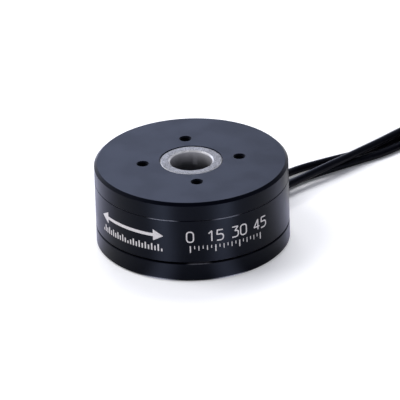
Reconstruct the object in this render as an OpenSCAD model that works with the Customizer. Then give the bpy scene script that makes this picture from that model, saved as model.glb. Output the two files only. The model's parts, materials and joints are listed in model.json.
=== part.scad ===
// Flat outrunner gimbal motor with a hollow shaft, three loose leads and ball bearings.
// The frame stands on its base: origin at the centre of the underside, +Z along the shaft.

/* [Body] */
// Outer diameter of cap, flux ring and base
motor_d = 40; // [39:0.5:44]
// Height of the base, from the underside to the top of its rim
base_h = 4.1; // [4:0.1:5]
// Height of the flux ring between base and cap
ring_h = 9.5; // [9.2:0.1:11]
// Height of the cap at its edge
cap_h = 3.9; // [3.2:0.1:5]
// Running gap between the base rim and the flux ring
rim_gap = 0.3; // [0.2:0.05:0.6]

/* [Cap] */
// Thickness of the cap's plate
cap_plate_t = 2.9; // [2:0.1:3.2]
// Chamfer around the cap's top edge
cap_chamfer = 0.6; // [0.3:0.1:1]
// Depth of the lip that centres the cap in the flux ring
cap_lip_h = 0.8; // [0.4:0.1:0.8]
// Radial thickness of that lip
cap_lip_t = 1; // [0.6:0.1:1.5]
// Diameter of the boss around the shaft, under the plate
cap_boss_d = 17; // [15:0.5:17.4]
// Pitch circle of the threaded holes in the cap
cap_bolt_pcd = 20; // [20:0.5:28]
// Diameter of those holes
cap_bolt_d = 2.5; // [1.6:0.1:2.6]
// Number of those holes
cap_bolt_count = 4; // [3:1:6]
// Angle of the rotor's first threaded hole at rest
rotor_angle = 6; // [0:1:45]

/* [Flux ring and magnets] */
// Wall of the steel flux ring
ring_wall = 1.2; // [0.8:0.1:1.4]
// Number of magnets, an even count
magnet_count = 22; // [14:2:28]
// Radial thickness of a magnet
magnet_t = 1; // [0.7:0.1:1.2]
// Height of a magnet
magnet_h = 7.5; // [5:0.1:7.6]
// Gap between neighbouring magnets, along the circle
magnet_gap = 0.3; // [0.1:0.1:0.8]

/* [Stator] */
// Number of wound teeth
tooth_count = 24; // [18:6:30]
// Height of the stack of laminations
stack_h = 6; // [4:0.5:6.5]
// Air gap between the teeth and the magnets
air_gap = 0.3; // [0.2:0.05:0.5]
// Radial thickness of the core behind the teeth
back_iron_t = 1.75; // [1.4:0.05:2]
// Width of a tooth
tooth_w = 1.5; // [1.2:0.1:1.8]
// Radial thickness of a tooth's tip
tip_t = 0.7; // [0.5:0.1:1]
// Opening between two tips
slot_opening = 0.9; // [0.6:0.1:1.4]
// Thickness of the insulating end plates
insulator_t = 0.35; // [0.2:0.05:0.5]
// Thickness of a winding over the ends of its tooth
end_turn_t = 1.15; // [0.8:0.05:1.2]

/* [Shaft] */
// Bore through the hollow shaft
shaft_bore_d = 8.7; // [6:0.1:9]
// Diameter of the shaft's head, pressed into the cap
shaft_head_d = 12.7; // [12.5:0.1:13.2]
// Chamfer at the mouth of the bore
shaft_mouth_chamfer = 0.25; // [0.1:0.05:0.5]
// How far the shaft's end lies below the cap's face
shaft_sink = 0.08; // [0:0.02:0.3]

/* [Bearings] */
// Bore of a bearing, and the shaft's journal
bearing_bore_d = 12; // [11.6:0.1:12.2]
// Radial thickness of a bearing, from its bore to its outside
bearing_section = 3; // [2.9:0.05:3.2]
// Width of a bearing
bearing_w = 4; // [3.8:0.1:4.2]
// Diameter of a ball
ball_d = 1.58; // [1.4:0.02:1.6]
// Balls in a bearing
ball_count = 14; // [10:1:15]

/* [Base] */
// Thickness of the base's floor
base_floor_t = 1.6; // [1.3:0.1:1.6]
// Chamfer around the underside
base_chamfer = 0.5; // [0.2:0.1:0.8]
// Wall of the tube that carries bearings and core
tube_wall = 1.25; // [1:0.05:1.5]
// Pitch circle of the mounting holes in the underside
base_bolt_pcd = 25; // [25:0.5:30]
// Diameter of those holes
base_bolt_d = 2.5; // [1.6:0.1:3]
// Number of those holes
base_bolt_count = 4; // [2:1:4]

/* [Leads] */
// Diameter of a lead over its insulation
lead_d = 1.65; // [1.4:0.05:1.7]
// Direction in which the leads leave the base
exit_angle = 46; // [44:1:48]
// Outer diameter of the sleeves over the soldered joints
sleeve_d = 2.2; // [2:0.1:2.3]
// Diameter of a lead's tinned end
tip_d = 0.7; // [0.4:0.05:1]
// Length of a lead's tinned end
tip_len = 5; // [2:0.5:8]

/* [Hidden] */

$fn = 96;
over = 0.5;            // how far a cut runs past the face that it opens
boss_wall = 1.25;      // wall of a boss around a hole in the base
fit_gap = 0.02;        // radial gap of parts that are pressed or glued together
edge_break = 0.12;     // small chamfers where cap, ring and base meet
running_gap = 0.4;     // between the cap's boss and the bearing under it

// Heights, from the underside up
motor_r = motor_d / 2;
ring_z = base_h + rim_gap;
cap_z = ring_z + ring_h;
motor_h = cap_z + cap_h;
plate_z = motor_h - cap_plate_t;
boss_z = cap_z - 0.3;
upper_bearing_z = boss_z - running_gap - bearing_w;
clip_t = 0.8;
clip_z = 0.7;
shim_t = 0.2;
lower_bearing_z = clip_z + clip_t + shim_t;
tube_top = upper_bearing_z + bearing_w;
core_z = ring_z + (ring_h - stack_h) / 2;
seat_z = core_z - insulator_t;

// Radii, from the outside in
ring_in = motor_r - ring_wall;
magnet_out = ring_in - fit_gap;
magnet_in = magnet_out - magnet_t;
tooth_r = magnet_in - air_gap;
bearing_r = bearing_bore_d / 2 + bearing_section;
journal_r = bearing_bore_d / 2 - fit_gap;
head_r = shaft_head_d / 2;
tube_r = bearing_r + tube_wall;
core_bore_r = tube_r + fit_gap;
yoke_r = core_bore_r + back_iron_t;
step_r = yoke_r - 0.9;
shoulder_r = bearing_r - 0.7;

// Bearing section
pitch_r = (bearing_bore_d + bearing_section) / 2;
ball_r = ball_d / 2;
ball_play = 0.04;
groove_r = ball_r + ball_play;
land_gap = 0.55;
shield_t = 0.2;
shield_inset = 0.25;
shield_seat = 0.3;

// Leads. The middle lead leaves along exit_angle, and its neighbours lie beside it.
lead_r = lead_d / 2;
lead_pitch = lead_d + 0.1;
window_r = lead_r + 0.08;
window_z = base_floor_t + window_r + 0.07;
lead_sides = 8;
route_u = [[8.3, 12.1, 2.75], [10, 13.3, 2.75], [11.8, 14.8, 2.6], [12.6, 15.6, 2.55], [13.7, 16.7, 2.5],
    [16.2, 19.8, 2.05], [18.6, 23.1, 1.4], [20.9, 25.9, 1], [23.5, 28.1, 0.85], [27, 30.4, 0.85],
    [30.6, 32.2, 0.85], [34.5, 34, 0.85], [38.3, 36.4, 0.85], [41.8, 39.1, 0.85], [45, 41.9, 0.85],
    [47.6, 44.4, 0.85], [50.1, 46.9, 0.85], [52.6, 49.4, 0.85]];
route_v = [[10.1, 10.4, 2.75], [11.5, 11.9, 2.75], [13.1, 13.5, 2.6], [13.9, 14.4, 2.55], [14.9, 15.5, 2.5],
    [17.6, 18.8, 1.75], [20.5, 21.8, 1.05], [23.6, 24.1, 0.85], [27.2, 26.3, 0.85], [31.5, 28.9, 0.85],
    [35.8, 31.5, 0.85], [40.2, 34.2, 0.85], [44.4, 37.6, 0.85], [47.7, 41, 0.85], [50.8, 44.6, 0.85],
    [53.9, 48.1, 0.85]];
route_w = [[11.8, 8.7, 2.75], [13, 10.4, 2.75], [14.3, 12.3, 2.6], [15.2, 13.2, 2.55], [16.2, 14.2, 2.5],
    [18.4, 16.3, 2.4], [20.6, 18.4, 2.35], [22.9, 20.5, 2.35], [25.6, 22.9, 2.4], [29, 26, 2.5],
    [32.4, 29, 2.56], [35.9, 32.3, 2.56], [40.3, 36.5, 2.56], [44.5, 40.7, 2.58], [47.4, 43.4, 2.56],
    [50.3, 46.1, 2.46], [53.2, 48.8, 2.34]];
tail_u = [[75.1, 8.1, 4], [71.7, 7.3, 3.4], [68.4, 6.4, 2.3], [65.1, 5.4, 1.3], [61.9, 4.4, 0.88],
    [58.8, 3.4, 0.85]];
tail_v = [[74.7, 9.8, 4], [71.3, 9.1, 3.4], [67.9, 8.6, 2.3], [64.5, 8.3, 1.3], [61.1, 8.1, 0.88],
    [57.8, 8, 0.85]];
tail_w = [[74.9, 8.9, 5.5], [71.5, 8.2, 4.9], [68.1, 7.5, 3.8], [64.8, 6.8, 2.4], [61.6, 6.2, 1.2],
    [58.4, 5.6, 0.88]];

// The coil that holds the rest of the leads
coil_at = [70, 32];
coil_out = 21.8;
coil_in = 8;
coil_h = 6.9;
coil_round = 1.2;
tie_angle = -125;
tie_w = 3;
tie_t = 0.5;
tie_gap = 0.1;

function along(a) = [cos(a), sin(a)];
function tooth_pitch() = 360 / tooth_count;
function phase_of(tooth) = floor(tooth / (tooth_count / 6)) % 3;

// Sweeps a tube of lead_sides sides along a list of points, one ring at each point.
function unit(v) = v / norm(v);
function heading(p, i) = unit(p[min(i + 1, len(p) - 1)] - p[max(i - 1, 0)]);
function side_of(h) = unit(cross(h, [0, 0, 1]));
function ring_point(p, i, k, r) =
    let (h = heading(p, i), s = side_of(h), u = cross(s, h), a = 360 * k / lead_sides)
    p[i] + r * (cos(a) * s + sin(a) * u);

module swept_tube(p, r) {
    n = len(p);
    m = lead_sides;
    points = [for (i = [0 : n - 1]) for (k = [0 : m - 1]) ring_point(p, i, k, r)];
    walls = [for (i = [0 : n - 2]) for (k = [0 : m - 1])
        [i * m + k, (i + 1) * m + k, (i + 1) * m + (k + 1) % m, i * m + (k + 1) % m]];
    start = [[for (k = [0 : m - 1]) k]];
    end = [[for (k = [m - 1 : -1 : 0]) (n - 1) * m + k]];
    polyhedron(points = points, faces = concat(walls, start, end));
}

// Turns the Z axis onto the direction from a to b, with its origin at a.
module aim(a, b) {
    d = b - a;
    translate(a) rotate([0, acos(d[2] / norm(d)), atan2(d[1], d[0])]) children();
}

// A wedge that reaches past radius r, half degrees to each side of the X axis
module wedge(r, half) {
    far = r / cos(half) + over;
    polygon([[0, 0], far * along(-half), far * along(half)]);
}

// A ring with chamfers low and high at its outer edges
module chamfered_ring(r_in, r_out, h, low, high) {
    rotate_extrude() polygon([[r_in, 0], [r_out - low, 0], [r_out, low], [r_out, h - high],
        [r_out - high, h], [r_in, h]]);
}

module bolt_circle(pcd, count, first) {
    for (i = [0 : count - 1]) rotate(first + 360 * i / count) translate([pcd / 2, 0, 0]) children();
}

// A threaded hole through h with a small countersink at the end it starts from.
module threaded_hole(d, h) {
    sink = 0.05;
    translate([0, 0, -over]) cylinder(d = d, h = h + 2 * over);
    translate([0, 0, -0.01]) cylinder(r1 = d / 2 + sink, r2 = d / 2, h = sink);
}

module base_turning() {
    mouth = 0.3;
    rim_break = 0.15;
    rotate_extrude() polygon([
        [bearing_r + mouth, 0], [motor_r - base_chamfer, 0], [motor_r, base_chamfer],
        [motor_r, base_h - rim_break], [motor_r - rim_break, base_h], [ring_in, base_h],
        [ring_in, base_floor_t], [step_r, base_floor_t], [step_r, seat_z], [tube_r, seat_z],
        [tube_r, tube_top], [bearing_r + fit_gap, tube_top],
        [bearing_r + fit_gap, upper_bearing_z], [shoulder_r, upper_bearing_z],
        [shoulder_r, lower_bearing_z + bearing_w], [bearing_r + fit_gap, lower_bearing_z + bearing_w],
        [bearing_r + fit_gap, mouth]]);
}

module lead_window() {
    rotate(exit_angle) translate([ring_in - over, 0, window_z]) rotate([0, 90, 0]) {
        for (side = [-1, 1]) translate([0, side * lead_pitch, 0])
            cylinder(r = window_r, h = ring_wall + 2 * over);
        translate([-window_r, -lead_pitch, 0])
            cube([2 * window_r, 2 * lead_pitch, ring_wall + 2 * over]);
    }
}

module base() {
    boss_d = base_bolt_d + 2 * boss_wall;
    boss_top = base_floor_t * 2;
    bolt_angle = exit_angle + 45;
    color([0.09, 0.09, 0.11]) difference() {
        union() {
            base_turning();
            bolt_circle(base_bolt_pcd, base_bolt_count, bolt_angle)
                translate([0, 0, base_floor_t / 2]) cylinder(d = boss_d, h = boss_top - base_floor_t / 2);
        }
        bolt_circle(base_bolt_pcd, base_bolt_count, bolt_angle) threaded_hole(base_bolt_d, boss_top);
        lead_window();
    }
}

// One lamination: yoke, teeth and their tips, out to radius r_tip.
module lamination(r_tip, t_tip) {
    tip_half = tooth_pitch() / 2 - slot_opening / 2 / r_tip * 180 / PI;
    difference() {
        union() {
            circle(r = yoke_r);
            for (i = [0 : tooth_count - 1]) rotate(i * tooth_pitch()) {
                translate([yoke_r - 0.3, -tooth_w / 2]) square([r_tip - yoke_r - t_tip / 2 + 0.3, tooth_w]);
                intersection() {
                    difference() {
                        circle(r = r_tip);
                        circle(r = r_tip - t_tip);
                    }
                    wedge(r_tip, tip_half);
                }
            }
        }
        circle(r = core_bore_r);
    }
}

module stator_core() {
    color([0.5, 0.51, 0.53]) translate([0, 0, core_z]) linear_extrude(stack_h) lamination(tooth_r, tip_t);
}

module insulator() {
    set_back = 0.15;
    linear_extrude(insulator_t - fit_gap) lamination(tooth_r - set_back, tip_t - set_back);
}

module upper_insulator() {
    color([0.85, 0.83, 0.75]) translate([0, 0, core_z + stack_h + fit_gap]) insulator();
}

module lower_insulator() {
    color([0.85, 0.83, 0.75]) translate([0, 0, seat_z]) insulator();
}

// One tooth's winding: a block that tapers along the slot, rounded over its ends, less the tooth.
module tooth_winding() {
    clear = 0.05;
    slot_gap = 0.12;
    r0 = yoke_r + 0.2;
    r1 = tooth_r - tip_t - 0.15;
    window_h = stack_h + 2 * insulator_t + 2 * clear;
    wound_h = window_h + 2 * end_turn_t;
    half0 = r0 * tan(tooth_pitch() / 2) - slot_gap;
    half1 = r1 * tan(tooth_pitch() / 2) - slot_gap;
    corner = end_turn_t;
    translate([0, 0, core_z + stack_h / 2]) difference() {
        intersection() {
            translate([0, 0, -wound_h / 2]) linear_extrude(wound_h)
                polygon([[r0, -half0], [r1, -half1], [r1, half1], [r0, half0]]);
            translate([r0 - over, 0, 0]) rotate([90, 0, 90]) linear_extrude(r1 - r0 + 2 * over)
                rounded_rectangle(2 * half1, wound_h, corner);
        }
        translate([r0 - over, -tooth_w / 2 - clear, -window_h / 2])
            cube([r1 - r0 + 2 * over, tooth_w + 2 * clear, window_h]);
    }
}

module winding(phase) {
    color([0.72, 0.4, 0.2])
        for (i = [0 : tooth_count - 1])
            if (phase_of(i) == phase) rotate(i * tooth_pitch()) tooth_winding();
}

// A shrunk sleeve over the end of a lead, and one over the star point.
module joint_sleeve(length) {
    difference() {
        cylinder(d = sleeve_d, h = length);
        translate([0, 0, -over]) cylinder(r = lead_r + 0.05, h = length + 2 * over);
    }
}

module joint_sleeves() {
    reach = 2;
    length = 2.7;
    star_at = exit_angle + 90;
    color([0.13, 0.13, 0.14]) {
        for (p = [route_u, route_v, route_w])
            aim(p[0], p[1]) translate([0, 0, -reach]) joint_sleeve(length);
        rotate(star_at) translate([(step_r + ring_in) / 2, length / 2, base_floor_t + sleeve_d / 2 + 0.05])
            rotate([90, 0, 0]) cylinder(d = sleeve_d, h = length);
    }
}

// Bearing parts, drawn about the middle of the bearing's width
module bearing_outer_ring() {
    color([0.75, 0.76, 0.78]) rotate_extrude() difference() {
        translate([pitch_r + land_gap, -bearing_w / 2]) square([bearing_r - pitch_r - land_gap, bearing_w]);
        translate([pitch_r, 0]) circle(r = groove_r);
        for (s = [-1, 1]) translate([pitch_r, s * (bearing_w / 2 - shield_inset - shield_t / 2)])
            square([2 * (land_gap + shield_seat), shield_t + 2 * fit_gap], center = true);
    }
}

module bearing_inner_ring() {
    color([0.75, 0.76, 0.78]) rotate_extrude() difference() {
        translate([bearing_bore_d / 2, -bearing_w / 2])
            square([pitch_r - land_gap - bearing_bore_d / 2, bearing_w]);
        translate([pitch_r, 0]) circle(r = groove_r);
    }
}

module bearing_shields() {
    shield_in = pitch_r - land_gap + 0.1;
    shield_out = pitch_r + land_gap + shield_seat - fit_gap;
    color([0.6, 0.61, 0.63]) for (s = [-1, 1])
        translate([0, 0, s * (bearing_w / 2 - shield_inset - shield_t / 2) - shield_t / 2]) difference() {
            cylinder(r = shield_out, h = shield_t);
            translate([0, 0, -over]) cylinder(r = shield_in, h = shield_t + 2 * over);
        }
}

// A crown: a thin ring open to one side, with a round pocket for each ball.
module bearing_cage() {
    cage_t = 0.5;
    open_side = ball_r / 2;
    back = ball_r + 0.5;
    color([0.72, 0.55, 0.25]) difference() {
        translate([0, 0, -open_side]) difference() {
            cylinder(r = pitch_r + cage_t / 2, h = open_side + back);
            translate([0, 0, -over]) cylinder(r = pitch_r - cage_t / 2, h = open_side + back + 2 * over);
        }
        bolt_circle(2 * pitch_r, ball_count, 0) sphere(r = ball_r + 0.05);
    }
}

module bearing_balls() {
    color([0.85, 0.86, 0.88]) bolt_circle(2 * pitch_r, ball_count, 0) sphere(r = ball_r);
}

module at_upper() {
    translate([0, 0, upper_bearing_z + bearing_w / 2]) children();
}

module at_lower() {
    translate([0, 0, lower_bearing_z + bearing_w / 2]) children();
}

module top_cap() {
    bore_r = head_r + fit_gap;
    bore_break = 0.2;
    color([0.13, 0.13, 0.16]) difference() {
        rotate_extrude() polygon([
            [bore_r, boss_z], [cap_boss_d / 2, boss_z], [cap_boss_d / 2, plate_z],
            [ring_in - fit_gap - cap_lip_t, plate_z], [ring_in - fit_gap - cap_lip_t, cap_z - cap_lip_h],
            [ring_in - fit_gap, cap_z - cap_lip_h], [ring_in - fit_gap, cap_z],
            [motor_r - edge_break, cap_z], [motor_r, cap_z + edge_break], [motor_r, motor_h - cap_chamfer],
            [motor_r - cap_chamfer, motor_h], [bore_r + bore_break, motor_h], [bore_r, motor_h - bore_break]]);
        translate([0, 0, motor_h]) mirror([0, 0, 1])
            bolt_circle(cap_bolt_pcd, cap_bolt_count, rotor_angle) threaded_hole(cap_bolt_d, cap_plate_t);
    }
}

module flux_ring() {
    color([0.1, 0.1, 0.12]) translate([0, 0, ring_z])
        chamfered_ring(ring_in, motor_r, ring_h, edge_break, edge_break);
}

// Every second magnet, from the first one on
module magnets(first) {
    span = 360 / magnet_count - magnet_gap / magnet_out * 180 / PI;
    color([0.66, 0.67, 0.68]) translate([0, 0, ring_z + (ring_h - magnet_h) / 2])
        for (i = [first : 2 : magnet_count - 1]) rotate(rotor_angle + 360 * i / magnet_count)
            intersection() {
                difference() {
                    cylinder(r = magnet_out, h = magnet_h);
                    translate([0, 0, -over]) cylinder(r = magnet_in, h = magnet_h + 2 * over);
                }
                translate([0, 0, -over]) linear_extrude(magnet_h + 2 * over) wedge(magnet_out, span / 2);
            }
}

module hollow_shaft() {
    bottom = 0.15;
    groove_depth = 0.28;
    bore_r = shaft_bore_d / 2;
    top = motor_h - shaft_sink;
    head_z = upper_bearing_z + bearing_w;
    c = shaft_mouth_chamfer;
    edge = 0.1;
    groove_low = clip_z - 0.03;
    groove_high = clip_z + clip_t + 0.03;
    color([0.7, 0.7, 0.71]) rotate_extrude() polygon([
        [bore_r + c, bottom], [journal_r - edge, bottom], [journal_r, bottom + edge],
        [journal_r, groove_low], [journal_r - groove_depth, groove_low],
        [journal_r - groove_depth, groove_high], [journal_r, groove_high],
        [journal_r, head_z], [head_r, head_z], [head_r, top - edge], [head_r - edge, top],
        [bore_r + c, top], [bore_r, top - c], [bore_r, bottom + c]]);
}

// An external circlip with two lugs for the pliers
module retaining_ring() {
    inner = journal_r - 0.26;
    outer = inner + 1.3;
    lug_r = 1;
    lug_at = outer - 0.1;
    lug_angle = 17;
    color([0.3, 0.3, 0.32]) translate([0, 0, clip_z]) linear_extrude(clip_t) difference() {
        union() {
            circle(r = outer);
            for (s = [-1, 1]) rotate(s * lug_angle) translate([lug_at, 0]) circle(r = lug_r);
        }
        circle(r = inner);
        wedge(lug_at + lug_r, lug_angle / 2);
        for (s = [-1, 1]) rotate(s * lug_angle) translate([lug_at, 0]) circle(r = lug_r / 2);
    }
}

module shim_washer() {
    color([0.72, 0.73, 0.75]) translate([0, 0, clip_z + clip_t]) difference() {
        cylinder(r = pitch_r - land_gap - 0.05, h = shim_t);
        translate([0, 0, -over]) cylinder(r = bearing_bore_d / 2, h = shim_t + 2 * over);
    }
}

module lead(route, tail) {
    color([0.07, 0.07, 0.08]) {
        swept_tube(route, lead_r);
        swept_tube(tail, lead_r);
    }
}

// The stripped and tinned end of a lead, beyond the last point of its tail
module lead_end(tail) {
    last = tail[len(tail) - 1];
    color([0.72, 0.72, 0.7]) aim(last, last + heading(tail, len(tail) - 1)) cylinder(d = tip_d, h = tip_len);
}

// The wound leads as one ring, which bridges the strip of the tie beneath it
module lead_coil() {
    bridge_w = tie_w + 2 * tie_gap;
    color([0.07, 0.07, 0.08]) translate([coil_at[0], coil_at[1], 0]) difference() {
        rotate_extrude() polygon([
            [coil_in, coil_round], [coil_in + coil_round, 0], [coil_out - coil_round, 0],
            [coil_out, coil_round], [coil_out, coil_h - coil_round], [coil_out - coil_round, coil_h],
            [coil_in + coil_round, coil_h], [coil_in, coil_h - coil_round]]);
        rotate(tie_angle) translate([coil_in - over, -bridge_w / 2, -over])
            cube([coil_out - coil_in + 2 * over, bridge_w, tie_t + tie_gap + over]);
    }
}

// A rectangle w by h with corners of radius r
module rounded_rectangle(w, h, r) {
    square([w - 2 * r, h], center = true);
    square([w, h - 2 * r], center = true);
    for (x = [-1, 1]) for (y = [-1, 1]) translate([x * (w / 2 - r), y * (h / 2 - r)]) circle(r = r);
}

// A flat strip tied round the coil, with its two ends twisted together on top
module coil_tie() {
    inner = sqrt(pow(coil_in, 2) - pow(tie_w / 2, 2)) - tie_gap - tie_t;
    outer = coil_out + tie_gap + tie_t;
    high = coil_h + tie_gap + tie_t;
    corner = coil_round / 2;
    twist_l = 8;
    twist_w = 2;
    twist_t = 1;
    color([0.1, 0.1, 0.1]) translate([coil_at[0], coil_at[1], 0]) rotate(tie_angle)
        translate([(inner + outer) / 2, 0, 0]) {
            translate([0, 0, high / 2]) rotate([90, 0, 0]) linear_extrude(tie_w, center = true)
                difference() {
                    rounded_rectangle(outer - inner, high, corner + tie_t);
                    rounded_rectangle(outer - inner - 2 * tie_t, high - 2 * tie_t, corner);
                }
            translate([-twist_l / 2, 0, high + twist_w / 2 - tie_t / 2]) rotate([0, 90, 0])
                linear_extrude(twist_l, twist = 720, slices = 16, segments = 4)
                    square([twist_t, twist_w], center = true);
        }
}

base();
stator_core();
upper_insulator();
lower_insulator();
winding(0);  // winding_u
winding(1);  // winding_v
winding(2);  // winding_w
joint_sleeves();
at_upper() bearing_outer_ring();  // upper_bearing_outer_ring
at_lower() bearing_outer_ring();  // lower_bearing_outer_ring
at_upper() bearing_shields();  // upper_bearing_shields
at_lower() bearing_shields();  // lower_bearing_shields
lead(route_u, tail_u);  // lead_u
lead(route_v, tail_v);  // lead_v
lead(route_w, tail_w);  // lead_w
lead_coil();
coil_tie();
lead_end(tail_u);  // lead_end_u
lead_end(tail_v);  // lead_end_v
lead_end(tail_w);  // lead_end_w
top_cap();
flux_ring();
magnets(0);  // north_magnets
magnets(1);  // south_magnets
hollow_shaft();
at_upper() bearing_inner_ring();  // upper_bearing_inner_ring
at_lower() bearing_inner_ring();  // lower_bearing_inner_ring
retaining_ring();
shim_washer();
at_upper() bearing_cage();  // upper_bearing_cage
at_upper() bearing_balls();  // upper_bearing_balls
at_lower() bearing_cage();  // lower_bearing_cage
at_lower() bearing_balls();  // lower_bearing_balls
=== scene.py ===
"""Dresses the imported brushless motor, lays its leads and lights it in a small studio.

Lengths are millimetres in every class, as in the part's source. They become metres only
where a mesh, a curve, a material, a lamp or the camera is made.
"""
from __future__ import annotations

import json
import logging
import math
from dataclasses import dataclass, field, replace
from enum import Enum
from typing import Callable, Iterable, Sequence

import bmesh
import bpy
from mathutils import Matrix, Vector


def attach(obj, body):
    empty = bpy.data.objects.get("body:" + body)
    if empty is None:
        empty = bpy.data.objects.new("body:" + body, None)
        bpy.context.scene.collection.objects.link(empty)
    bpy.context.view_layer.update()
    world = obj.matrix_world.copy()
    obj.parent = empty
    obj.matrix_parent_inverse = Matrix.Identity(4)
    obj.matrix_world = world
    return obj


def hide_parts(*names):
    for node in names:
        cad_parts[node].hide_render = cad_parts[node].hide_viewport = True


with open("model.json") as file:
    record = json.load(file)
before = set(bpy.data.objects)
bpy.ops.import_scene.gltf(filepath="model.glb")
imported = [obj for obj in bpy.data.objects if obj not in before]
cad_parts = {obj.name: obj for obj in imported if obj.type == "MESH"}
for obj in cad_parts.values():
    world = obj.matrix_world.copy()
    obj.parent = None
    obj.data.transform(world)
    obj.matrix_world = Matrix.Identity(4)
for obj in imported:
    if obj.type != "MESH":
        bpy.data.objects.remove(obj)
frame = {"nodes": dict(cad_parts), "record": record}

LOG = logging.getLogger("motor")
MM = 0.001
TAU = 2 * math.pi
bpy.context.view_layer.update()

Vec2 = tuple[float, float]
Vec3 = tuple[float, float, float]
BMesh = bmesh.types.BMesh
Mesh = bpy.types.Mesh
Object = bpy.types.Object
Socket = bpy.types.NodeSocket


class Body(Enum):
    """The CAD bodies that a piece can ride on."""

    STATOR = "stator"
    ROTOR = "rotor"


# Shader graphs


class Graph:
    """Adds and links nodes in one node tree.

    Wherever a value is asked for, it is an output socket or a plain number or colour.
    """

    def __init__(self, tree: bpy.types.NodeTree) -> None:
        """Start on an empty tree."""
        self.tree = tree
        tree.nodes.clear()

    def add(self, kind: str, values: dict[int | str, object] | None = None, **settings: object) -> bpy.types.Node:
        """Add one node.

        Args:
            kind: the node's type name.
            values: what its inputs get, by number or name.
            settings: properties to set on it.

        Returns:
            The new node.
        """
        node = self.tree.nodes.new(kind)
        for key, setting in settings.items():
            setattr(node, key, setting)
        for key, value in (values or {}).items():
            socket = node.inputs[key]
            if isinstance(value, Socket):
                self.tree.links.new(value, socket)
            else:
                socket.default_value = (*value, 1.0) if socket.type == "RGBA" else value
        return node

    def math(self, operation: str, a: object, b: object = 0.0, clamp: bool = False) -> Socket:
        """Add a Math node for one or two values."""
        return self.add("ShaderNodeMath", {0: a, 1: b}, operation=operation, use_clamp=clamp).outputs[0]

    def times(self, value: object, *others: object) -> Socket:
        """Multiply values.

        Args:
            value: the first one.
            others: what it is multiplied by, one after the other.

        Returns:
            The product.
        """
        for other in others:
            value = self.math("MULTIPLY", value, other)
        return value

    def minus(self, a: object, b: object) -> Socket:
        """Subtract b from a."""
        return self.math("SUBTRACT", a, b)

    def blend(self, factor: object, a: object, b: object) -> Socket:
        """Mix two colours, from a where the factor is 0 to b where it is 1."""
        return self.add("ShaderNodeMix", {0: factor, 6: a, 7: b}, data_type="RGBA").outputs[2]

    def remap(self, value: object, low: object, high: object, to_low: float = 0.0, to_high: float = 1.0) -> Socket:
        """Run smoothly from to_low, where the value is low, to to_high, where it is high."""
        values = dict(enumerate((value, low, high, to_low, to_high)))
        return self.add("ShaderNodeMapRange", values, interpolation_type="SMOOTHSTEP").outputs[0]

    def noise(self, vector: Socket, scale: object, detail: float = 2.0, rough: float = 0.5) -> Socket:
        """Look up noise of some scale, in features a metre, with some octaves and strength of the fine ones."""
        values = {"Vector": vector, "Scale": scale, "Detail": detail, "Roughness": rough}
        return self.add("ShaderNodeTexNoise", values).outputs[0]

    def xyz(self, vector: Socket) -> Sequence[Socket]:
        """Split a vector into its three parts."""
        return self.add("ShaderNodeSeparateXYZ", {0: vector}).outputs

    def radius(self, x: Socket, y: Socket) -> Socket:
        """Give the distance from the shaft's axis."""
        return self.math("SQRT", self.math("ADD", self.times(x, x), self.times(y, y)))

    def by_ray(self, lit: object, mirrored: object, seen: object) -> Socket:
        """Choose a colour by what looks at it.

        Args:
            lit: what lights matt surfaces.
            mirrored: what reflections show.
            seen: what the camera sees.

        Returns:
            The colour.
        """
        path = self.add("ShaderNodeLightPath").outputs
        glossy = self.math("MAXIMUM", path["Is Glossy Ray"], path["Is Transmission Ray"])
        return self.blend(path["Is Camera Ray"], self.blend(glossy, lit, mirrored), seen)

    def surface(self, values: dict[int | str, object]) -> None:
        """Add the material's shader with its inputs, and the output that it feeds."""
        shader = self.add("ShaderNodeBsdfPrincipled", values)
        self.add("ShaderNodeOutputMaterial", {"Surface": shader.outputs[0]})


class Effect(Graph):
    """A shader node group with named inputs and outputs, made once and placed in many materials."""

    title = "effect"
    inputs: dict[str, float] = {}
    outputs: tuple[str, ...] = ("Height", "Mask")

    def __init__(self) -> None:
        """Make the group's sockets, then fill it."""
        super().__init__(bpy.data.node_groups.new(self.title, "ShaderNodeTree"))
        sockets = self.tree.interface
        sockets.new_socket("Vector", in_out="INPUT", socket_type="NodeSocketVector")
        for name, value in self.inputs.items():
            sockets.new_socket(name, in_out="INPUT", socket_type="NodeSocketFloat").default_value = value
        for name in self.outputs:
            sockets.new_socket(name, in_out="OUTPUT", socket_type="NodeSocketFloat")
        entry = self.add("NodeGroupInput").outputs
        self.at, *self.given = (entry[name] for name in ("Vector", *self.inputs))
        self.add("NodeGroupOutput", dict(zip(self.outputs, self.wire())))

    def wire(self) -> Sequence[Socket]:
        """Fill the group from its coordinates, self.at, and its other inputs, self.given."""
        raise NotImplementedError

    @classmethod
    def place(cls, graph: Graph, vector: Socket, values: dict[str, float]) -> Sequence[Socket]:
        """Put the group in a material, with the coordinates and values that it reads, and give its outputs."""
        group = bpy.data.node_groups.get(cls.title) or cls().tree
        return graph.add("ShaderNodeGroup", {"Vector": vector, **values}, node_tree=group).outputs


class BlastedGrain(Effect):
    """Fine random pits, as glass-bead blasting and anodising leave them."""

    title = "blasted_grain"
    inputs = {"Scale": 5000.0, "Pits": 0.5}

    def wire(self) -> Sequence[Socket]:
        """Mix a fine noise with sparse rounded pits.

        Returns:
            Height and Mask.
        """
        scale, pits = self.given
        cells = self.add("ShaderNodeTexVoronoi", {"Vector": self.at, "Scale": self.times(scale, 0.7)})
        deep = self.times(self.minus(self.remap(cells.outputs["Distance"], 0.05, 0.45), 1.0), pits)
        height = self.math("ADD", self.noise(self.at, scale, 3.0, 0.6), deep)
        return height, self.remap(height, 0.25, 0.75)


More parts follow.
